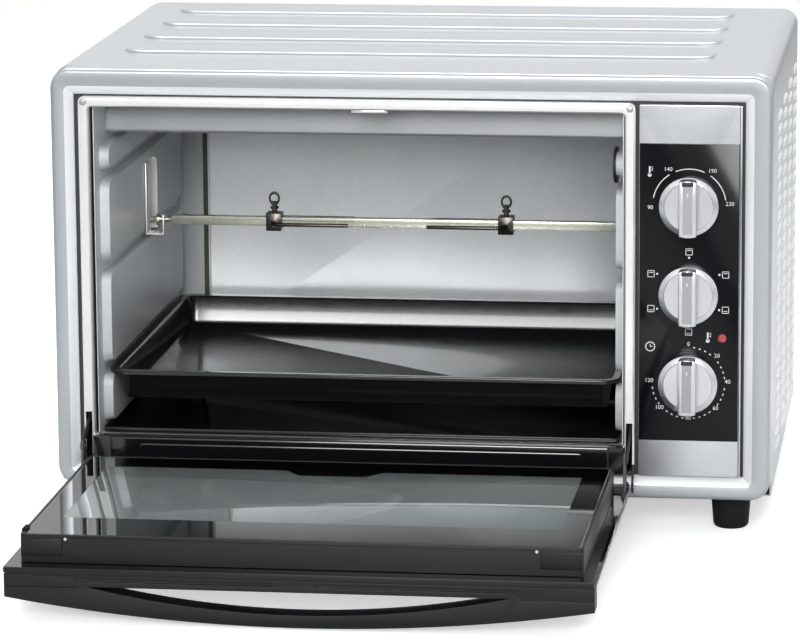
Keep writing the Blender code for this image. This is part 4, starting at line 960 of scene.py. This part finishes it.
class OVEN_OT_cavity(bpy.types.Operator):
    """Press the walls, floor, roof and back of the oven, and fit its baffle, catch and seam"""
    bl_idname = "oven.cavity"
    bl_label = "Cavity"

    def execute(self, context):
        soft = context.scene.oven_cavity.pressing
        steel = FINISH["aluminised_steel"]
        for name in ("cavity_left_wall", "cavity_right_wall", "cavity_back"):
            formed(name, steel, soft, 3)
        for name in ("cavity_floor", "cavity_roof"):
            formed(name, steel, 0.2 * MM, 1)
        baffle = flat(at(-243.2, 54, 270.4), at(161.7, 54, 297.2))
        choose(baffle, "EDGE", lambda e: middle(e).z < at(0, 0, 271).z)
        for move in ((0, -0.8 * MM, -0.9 * MM), (0, 0.3 * MM, -0.9 * MM), (0, 1.6 * MM, -0.3 * MM)):
            pulled(move)
        leave()
        changed(baffle, "SOLIDIFY", thickness=0.6 * MM, offset=-1)
        # The baffle's darker steel is painted shade.
        piece(baffle, "baffle_sheet", "oven_body", FINISH["shaded_aluminised"],
              ("heater_baffle",), 60)
        seam = box(at(-222.4, 350.9, 42), at(-216.0, 352.9, 294))
        softened(seam, 0.7 * MM, 3)
        # A dark strip down the middle of the seam: painted shade and reflection in its groove.
        groove = box(at(-221.2, 350.6, 42), at(-217.2, 351.4, 294))
        piece(seam, "back_seam", "oven_body", steel)
        piece(groove, "back_seam_joint", "oven_body", FINISH["seam_joint"])
        catch = box(at(-44.8, 1.9, 293.6), at(-14.8, 12.0, 295.7))
        rounded_edges(catch, 4 * MM, 6, lambda e: abs(e.verts[0].co.z - e.verts[1].co.z) > MM
                      and middle(e).y < FRONT + 6 * MM)
        softened(catch, 0.3 * MM, 2)
        piece(catch, "door_striker", "oven_body", FINISH["chrome"], ("door_catch",))
        dome = drum(at(153.6, 50, 249), "x", 14 * MM, 3 * MM, 40)
        rounded_edges(dome, 1.4 * MM, 4, lambda e: middle(e).x < 0.1525)
        piece(dome, "lamp_blank", "oven_body", FINISH["near_black_and_recess_shade"])
        return {"FINISHED"}


class OVEN_OT_heaters(bpy.types.Operator):
    """Round the upper and lower tubular heaters"""
    bl_idname = "oven.heaters"
    bl_label = "Heaters"

    def execute(self, context):
        for name in ("upper_heater", "lower_heater"):
            formed(name, FINISH["heater_sheath"], 0)
        return {"FINISHED"}


class OVEN_OT_rotisserie(bpy.types.Operator):
    """Finish the spit, its socket and rest, the two forks and their thumb screws"""
    bl_idname = "oven.rotisserie"
    bl_label = "Rotisserie"

    def thumb_screw(self, name, material):
        """A screw whose head is a bent wire loop on a small collar."""
        (low, high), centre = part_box(name), centre_of(name)
        stem = drum(centre - Vector((0, 0, 4 * MM)), "z", 2 * MM, high.z - low.z - 8 * MM, 24)
        collar = drum((centre.x, centre.y, low.z + 7.2 * MM), "z", 3.4 * MM, 2 * MM, 32)
        softened(collar, 0.6 * MM, 3)
        deselect()
        bpy.ops.mesh.primitive_torus_add(
            location=(centre.x, centre.y, high.z - 5.7 * MM), rotation=TURNS["y"],
            major_radius=4.6 * MM, minor_radius=1.1 * MM, major_segments=40, minor_segments=12)
        loop = bpy.context.object
        loop.scale.x = 0.8
        merged(stem, collar, settled(loop))
        piece(stem, f"{name}_turned", BODY_OF[name], material, (name,))

    def execute(self, context):
        nickel = FINISH["heated_nickel"]
        formed("spit_rod", FINISH["spit_nickel"], 0.5 * MM, 2)
        formed("spit_socket", FINISH["zinc_steel"], 0.6 * MM, 2)
        formed("spit_rest", FINISH["bright_zinc"], 0.4 * MM, 2)
        bar = box(at(-236.4, 195, 168), at(-230.6, 196.6, 226))
        rounded_edges(bar, 2.6 * MM, 5, lambda e: middle(e).z > at(0, 0, 225).z
                      and abs(middle(e).x - at(-233.5, 0, 0).x) > 2 * MM)
        piece(bar, "spit_guide_bar", "oven_body", FINISH["bright_zinc"])
        for side in ("left", "right"):
            formed(f"spit_fork_{side}", nickel, 0.5 * MM, 2)
            self.thumb_screw(f"fork_screw_{side}", nickel)
        return {"FINISHED"}


class OVEN_OT_trays(bpy.types.Operator):
    """Press the baking tray and the crumb tray"""
    bl_idname = "oven.trays"
    bl_label = "Trays"

    def execute(self, context):
        sizes = context.scene.oven_cavity
        low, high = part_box("baking_tray")
        tray = flat((low.x, low.y, high.z), high, sizes.tray_corner, 6)
        stepped(tray, [(1.6 * MM, 0), (5.4 * MM, -0.4 * MM), (1.2 * MM, -1.6 * MM),
                       (3.0 * MM, -18.0 * MM), (1.2 * MM, -2.6 * MM), (2.4 * MM, -0.6 * MM)])
        choose(tray, "EDGE", lambda e: e.is_boundary)
        pulled((0, 0, -sizes.tray_roll))
        leave()
        outward(tray)
        if max(tray.data.polygons, key=lambda p: p.area).normal.z < 0:
            tray.data.flip_normals()
        rounded_edges(tray, 0.8 * MM, 3, lambda e: len(e.link_faces) == 2
                      and all(v.co.z > high.z - 0.01 * MM for v in e.verts)
                      and any(abs(f.normal.z) < 0.5 for f in e.link_faces))
        changed(tray, "SOLIDIFY", thickness=0.9 * MM, offset=-1, use_even_offset=True)
        piece(tray, "baking_tray_pressing", "tray", FINISH["black_enamel"],
              ("baking_tray",), 40)
        formed("crumb_tray", FINISH["black_enamel"], 0.3 * MM, 2)
        return {"FINISHED"}


class OVEN_OT_door(bpy.types.Operator):
    """Build the door: two panes, their fired borders, the inner frame and the handle"""
    bl_idname = "oven.door"
    bl_label = "Door"

    def border(self, low, high, widths, base):
        """A flat printed border with a clear window. widths are left, right, free and hinge."""
        left, right, free, hinge = widths
        made = flat((low.x, low.y, base), (high.x, high.y, base), 2 * MM, 3)
        choose(made)
        bpy.ops.mesh.inset(thickness=1 * MM, depth=0)
        leave()
        inner = lambda v: (low.x + 0.9 * MM < v.co.x < high.x - 0.9 * MM
                           and low.y + 0.9 * MM < v.co.y < high.y - 0.9 * MM)
        centre = (low + high) / 2
        moved(made, (left - MM, 0, 0), lambda v: inner(v) and v.co.x < centre.x)
        moved(made, (-right + MM, 0, 0), lambda v: inner(v) and v.co.x > centre.x)
        moved(made, (0, free - MM, 0), lambda v: inner(v) and v.co.y < centre.y)
        moved(made, (0, -hinge + MM, 0), lambda v: inner(v) and v.co.y > centre.y)
        removed(made, lambda f: all(inner(v) for v in f.verts))
        changed(made, "SOLIDIFY", thickness=PRINT_THICK, offset=0)
        return made

    def inner_frame(self):
        """Moulded frame that carries the inner pane in a step, with its corner blocks."""
        low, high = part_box("door_inner_frame")
        made = flat((low.x, low.y, high.z), high, 3 * MM, 4)
        stepped(made, [(2.2 * MM, 0), (0.05 * MM, -3.4 * MM), (13.6 * MM, 0),
                       (0.4 * MM, -17 * MM)], hollow=True)
        choose(made, "EDGE", lambda e: e.is_boundary and middle(e).z > high.z - MM)
        pulled((0, 0, low.z - high.z))
        leave()
        choose(made, "EDGE", lambda e: e.is_boundary)
        bpy.ops.mesh.bridge_edge_loops()
        leave()
        outward(made)
        softened(made, 0.5 * MM, 3, 50)
        # A raised block at each front corner, with a bar between them along the free edge.
        for start in (low.x + 0.6 * MM, high.x - 30.6 * MM):
            block = box((start, low.y - 0.7 * MM, low.z + 5 * MM),
                        (start + 30 * MM, low.y + 1.5 * MM, high.z - 3 * MM))
            softened(block, 0.6 * MM, 3)
            merged(made, block)
        bar = box((low.x + 36 * MM, low.y - 0.5 * MM, high.z - 2.6 * MM),
                  (high.x - 36 * MM, low.y + 1.5 * MM, high.z - 1.3 * MM))
        softened(bar, 0.3 * MM, 2)
        merged(made, bar)
        piece(made, "inner_frame_moulding", "door", FINISH["black_plastic"],
              ("door_inner_frame",))
        pin = drum((low.x + 33 * MM, low.y - 0.3 * MM, high.z - 3 * MM), "y", 1.1 * MM, 1.6 * MM,
                   20)
        merged(pin, copied(pin, (high.x - low.x - 66 * MM, 0, 0)))
        piece(pin, "frame_screws", "door", FINISH["bright_zinc"])
        bumper = drum((low.x + 1.2 * MM, low.y + 15 * MM, high.z), "y", 2.2 * MM, 9 * MM, 24)
        rounded_edges(bumper, 1.4 * MM, 4)
        piece(bumper, "frame_bumper", "door", FINISH["black_rubber"])

    def handle(self, sizes):
        """Straight strip with two shallow recesses, and a bow below it for the fingers."""
        low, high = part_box("door_handle")
        half = (high.x - low.x) / 2
        sag, seam = 17 * MM, high.z - 8.4 * MM
        radius = (half ** 2 + sag ** 2) / (2 * sag)
        made = box((low.x, low.y, low.z), (high.x, low.y + 18 * MM, high.z))
        boolean(made, drum((DOOR_X, (low.y + high.y) / 2, low.z + radius), "y", radius, 0.1, 720),
                "INTERSECT")
        # The finger gap: flat above, an arc below.
        reach, deep = 150 * MM, 16.4 * MM
        bend = (reach ** 2 + deep ** 2) / (2 * deep)
        gap = drum((DOOR_X, (low.y + high.y) / 2, seam - deep + bend), "y", bend, 0.1, 720)
        boolean(gap, box((low.x - 0.1, low.y - 0.2, low.z - 0.1),
                         (high.x + 0.1, high.y + 0.2, seam)), "INTERSECT")
        boolean(made, gap, "DIFFERENCE")
        for first, last in ((-199, -58), (-27, 113)):
            recess = box((first * MM, low.y - MM, high.z - 4.4 * MM),
                         (last * MM, low.y + 1.6 * MM, high.z - 2 * MM))
            boolean(made, recess, "DIFFERENCE")
        groove = box((low.x - MM, low.y - MM, high.z - 9.4 * MM),
                     (low.x + 52 * MM, low.y + 0.5 * MM, high.z - 8.9 * MM))
        mirrored = copied(groove, (high.x - low.x - 51 * MM, 0, 0))
        boolean(made, groove, "DIFFERENCE")
        boolean(made, mirrored, "DIFFERENCE")
        shelf = box((low.x + 3 * MM, low.y + 16 * MM, high.z - 8 * MM),
                    (high.x - 3 * MM, high.y, high.z - 0.3 * MM))
        softened(made, sizes.handle_round, 3, 40)
        merged(made, shelf)
        piece(made, "handle_moulding", "door", FINISH["black_plastic"],
              ("door_handle",))
        trim = box((low.x + 0.6 * MM, low.y + 0.3 * MM, high.z - 0.1 * MM),
                   (high.x - 0.6 * MM, low.y + 1.4 * MM, PANE_HIGH.z + 0.3 * MM))
        softened(trim, 0.3 * MM, 2)
        piece(trim, "pane_edge_trim", "door", FINISH["black_plastic"])

    def execute(self, context):
        sizes = context.scene.oven_door
        formed("door_outer_pane", FINISH["outer_glass"], sizes.glass_edge, 2)
        # The inner pane's grey veil is a painted reflection of the cavity.
        formed("door_inner_pane", FINISH["inner_glass"], 0.4 * MM, 2)
        self.inner_frame()
        low, high = PANE_LOW, PANE_HIGH
        inset = Vector((0.8 * MM, 0.8 * MM, 0))
        outer = self.border(low + inset, high - inset, [24 * MM] * 4, high.z + 0.05 * MM)
        piece(outer, "outer_pane_print", "door", FINISH["fired_ink"])
        low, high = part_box("door_inner_pane")
        inner = self.border(low + inset, high - inset,
                            (sizes.left_border, sizes.right_border, sizes.free_border,
                             sizes.hinge_border), high.z + 0.04 * MM)
        # A notch of the border reaches into the window in the middle of the hinge side.
        edge = high.y - 0.8 * MM - sizes.hinge_border
        notch = flat((-84 * MM, edge - 15 * MM, high.z + 0.04 * MM),
                     (-10 * MM, edge + MM, high.z + 0.04 * MM))
        for side in (-1, 1):
            moved(notch, (-side * 12 * MM, 0, 0),
                  lambda v: v.co.y < edge - 14 * MM and (v.co.x + 47 * MM) * side > 0)
        changed(notch, "SOLIDIFY", thickness=0.06 * MM, offset=0)
        merged(inner, notch)
        piece(inner, "inner_pane_print", "door", FINISH["fired_ink"])
        self.handle(sizes)
        return {"FINISHED"}


class OVEN_OT_hinges(bpy.types.Operator):
    """Finish the hinge leaves, pins and stay arms"""
    bl_idname = "oven.hinges"
    bl_label = "Hinges"

    def execute(self, context):
        for side in ("left", "right"):
            formed(f"hinge_leaf_{side}", FINISH["shadow_plate"], 0.3 * MM, 2)
            formed(f"hinge_arm_{side}", FINISH["shadow_plate"], 0.3 * MM, 2)
            formed(f"hinge_pin_{side}", FINISH["zinc_steel"], 0.3 * MM, 2)
        return {"FINISHED"}


class OVEN_OT_underside(bpy.types.Operator):
    """Finish the feet, their screws, the base plate and the fascia behind the front frame"""
    bl_idname = "oven.underside"
    bl_label = "Underside"

    def execute(self, context):
        for end in ("front_left", "front_right", "rear_left", "rear_right"):
            formed(f"foot_{end}", FINISH["black_rubber"], 1.2 * MM, 3)
            formed(f"foot_screw_{end}", FINISH["zinc_steel"], 0.3 * MM, 2)
        formed("base_plate", FINISH["zinc_steel"], 0)
        # Dark steel on the fascia: painted shade in the groove round the front frame.
        formed("fascia_plate", FINISH["shadow_plate"], 0)
        return {"FINISHED"}


class OVEN_OT_rear(bpy.types.Operator):
    """Finish the back panel, its screws and the mains inlet bush"""
    bl_idname = "oven.rear"
    bl_label = "Rear"

    def execute(self, context):
        formed("back_panel", FINISH["silver_paint"], 0)
        formed("mains_inlet_bush", FINISH["black_plastic"], 0.6 * MM, 3)
        head = drum(at(0, 397.9, 0), "y", 3.6 * MM, 2 * MM, 24)
        rounded_edges(head, 0.9 * MM, 3, lambda e: all(v.co.y > at(0, 398.5, 0).y for v in e.verts))
        for wide, tall in ((2.3, 0.35), (0.35, 2.3)):
            boolean(head, box(at(-wide, 398.4, -tall), at(wide, 399.2, tall)), "DIFFERENCE")
        head.data.transform(Matrix.Translation((0, 0, -FLOOR)))
        places = [(x, z) for x in (-258, 0, 258) for z in (14, 311)] + [(-258, 162), (258, 162)]
        screws = repeated(head, [(x * MM, 0, z * MM + FLOOR) for x, z in places])
        piece(screws, "rear_screws", "oven_body", FINISH["zinc_steel"])
        return {"FINISHED"}


# ---- stage --------------------------------------------------------------------------
class OVEN_OT_stage(bpy.types.Operator):
    """Set the camera, the floor, the softboxes and the pale surroundings"""
    bl_idname = "oven.stage"
    bl_label = "Stage"

    def execute(self, context):
        sizes = context.scene.oven_stage
        deselect()
        bpy.ops.object.camera_add(location=sizes.camera_place)
        camera = bpy.context.object
        camera.name = "Camera"
        turn = (Matrix.Rotation(sizes.camera_yaw, 3, "Z")
                @ Matrix.Rotation(math.pi / 2 - sizes.camera_pitch, 3, "X")
                @ Matrix.Rotation(sizes.camera_roll, 3, "Z"))
        camera.rotation_euler = turn.to_euler()
        camera.data.lens, camera.data.sensor_width = sizes.lens, 36
        camera.data.clip_end = 100
        context.scene.camera = camera
        self.surroundings(context.scene, sizes)
        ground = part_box("foot_front_right")[0].z
        deselect()
        bpy.ops.mesh.primitive_plane_add(size=40, location=(0, 0, ground))
        floor = bpy.context.object
        floor.name = floor.data.name = "floor"
        floor.data.materials.append(self.paper(sizes.floor, sizes.glow))
        aim = Vector((0, 0.1, 0.15))
        # Name, place, width, height, share of the power and angle of the beam.
        for name, place, wide, tall, share, beam in (
                ("key", (-1.5, -1.5, 1.9), 1.2, 1.2, 0.15, 180),
                ("overhead", (0.1, 0.9, 2.2), 2.4, 1.4, 3.6, 180),
                ("right_fill", (2.3, -0.6, 1.0), 1.2, 1.6, 0.35, 180),
                ("front_fill", (0.1, -2.6, 1.15), 1.3, 0.9, 0.42, 50)):
            deselect()
            place = Vector(place)
            bpy.ops.object.light_add(type="AREA", location=place)
            lamp = bpy.context.object
            lamp.name = f"softbox_{name}"
            lamp.rotation_euler = (aim - place).to_track_quat("-Z", "Y").to_euler()
            lamp.data.shape, lamp.data.size, lamp.data.size_y = "RECTANGLE", wide, tall
            lamp.data.energy = sizes.lamps * share
            lamp.data.spread = math.radians(beam)
        context.scene.view_settings.view_transform = "Standard"
        return {"FINISHED"}

    def surroundings(self, scene, sizes):
        """Even light on the object, and a near-white room for the eye and for reflections."""
        scene.world = bpy.data.worlds.new("studio")
        scene.world.use_nodes = True
        tree = scene.world.node_tree
        tree.nodes.clear()
        seen = is_ray(tree, "Camera", "Transmission", "Glossy")
        strength = node(tree, "MapRange", {"Value": seen, "To Min": sizes.sky,
                                           "To Max": 1.0}).outputs[0]
        sky = node(tree, "Background", {"Color": linear("fafafa"), "Strength": strength})
        node(tree, "OutputWorld", {"Surface": sky.outputs[0]})

    def paper(self, tone, strength):
        """Matt background paper with a hardly visible fibre, paler to the eye than to the light."""
        made = finish("matt_background_paper", shade(tone, 0.99), shade(tone, 1.01), 3 * MM, 0.0,
                      0.85, 0.03, 0.001 * MM)
        tree = made.node_tree
        end = surface_of(tree)
        glow = node(tree, "Math", {0: is_ray(tree, "Camera", "Transmission"), 1: strength},
                    operation="MULTIPLY").outputs[0]
        pale = node(tree, "Emission", {"Strength": glow, "Color": tone})
        both = node(tree, "AddShader", {0: end.links[0].from_socket, 1: pale.outputs[0]})
        tree.links.new(both.outputs[0], end)
        return made


# ---- panel and registration ---------------------------------------------------------
OPERATORS = (OVEN_OT_finishes, OVEN_OT_casing, OVEN_OT_front_frame, OVEN_OT_opening_ring,
             OVEN_OT_control_panel, OVEN_OT_dials, OVEN_OT_cavity, OVEN_OT_heaters,
             OVEN_OT_rotisserie, OVEN_OT_trays, OVEN_OT_door, OVEN_OT_hinges, OVEN_OT_underside,
             OVEN_OT_rear, OVEN_OT_stage)

GROUPS = {"oven_casing": OvenCasing, "oven_controls": OvenControls, "oven_door": OvenDoor,
          "oven_cavity": OvenCavity, "oven_colours": OvenColours, "oven_stage": OvenStage}


class OVEN_PT_build(bpy.types.Panel):
    """Lists the oven's pieces and settings"""
    bl_idname = "OVEN_PT_build"
    bl_label = "Countertop Oven"
    bl_space_type = "VIEW_3D"
    bl_region_type = "UI"
    bl_category = "Oven"

    def draw(self, context):
        for operator in OPERATORS:
            self.layout.operator(operator.bl_idname)
        for name in GROUPS:
            settings = getattr(context.scene, name)
            column = self.layout.box()
            for key in settings.__annotations__:
                column.prop(settings, key)


def register():
    """Add the settings, the operators and the panel."""
    for group in GROUPS.values():
        bpy.utils.register_class(group)
    for name, group in GROUPS.items():
        setattr(bpy.types.Scene, name, PointerProperty(type=group))
    for operator in (*OPERATORS, OVEN_PT_build):
        bpy.utils.register_class(operator)


def unregister():
    """Take them all away again."""
    for operator in reversed((*OPERATORS, OVEN_PT_build)):
        bpy.utils.unregister_class(operator)
    for name in GROUPS:
        delattr(bpy.types.Scene, name)
    for group in reversed(tuple(GROUPS.values())):
        bpy.utils.unregister_class(group)


def main():
    """Register, and build every piece in order."""
    register()
    for operator in OPERATORS:
        getattr(bpy.ops.oven, operator.bl_idname.split(".")[1])()


if __name__ == "__main__":
    main()
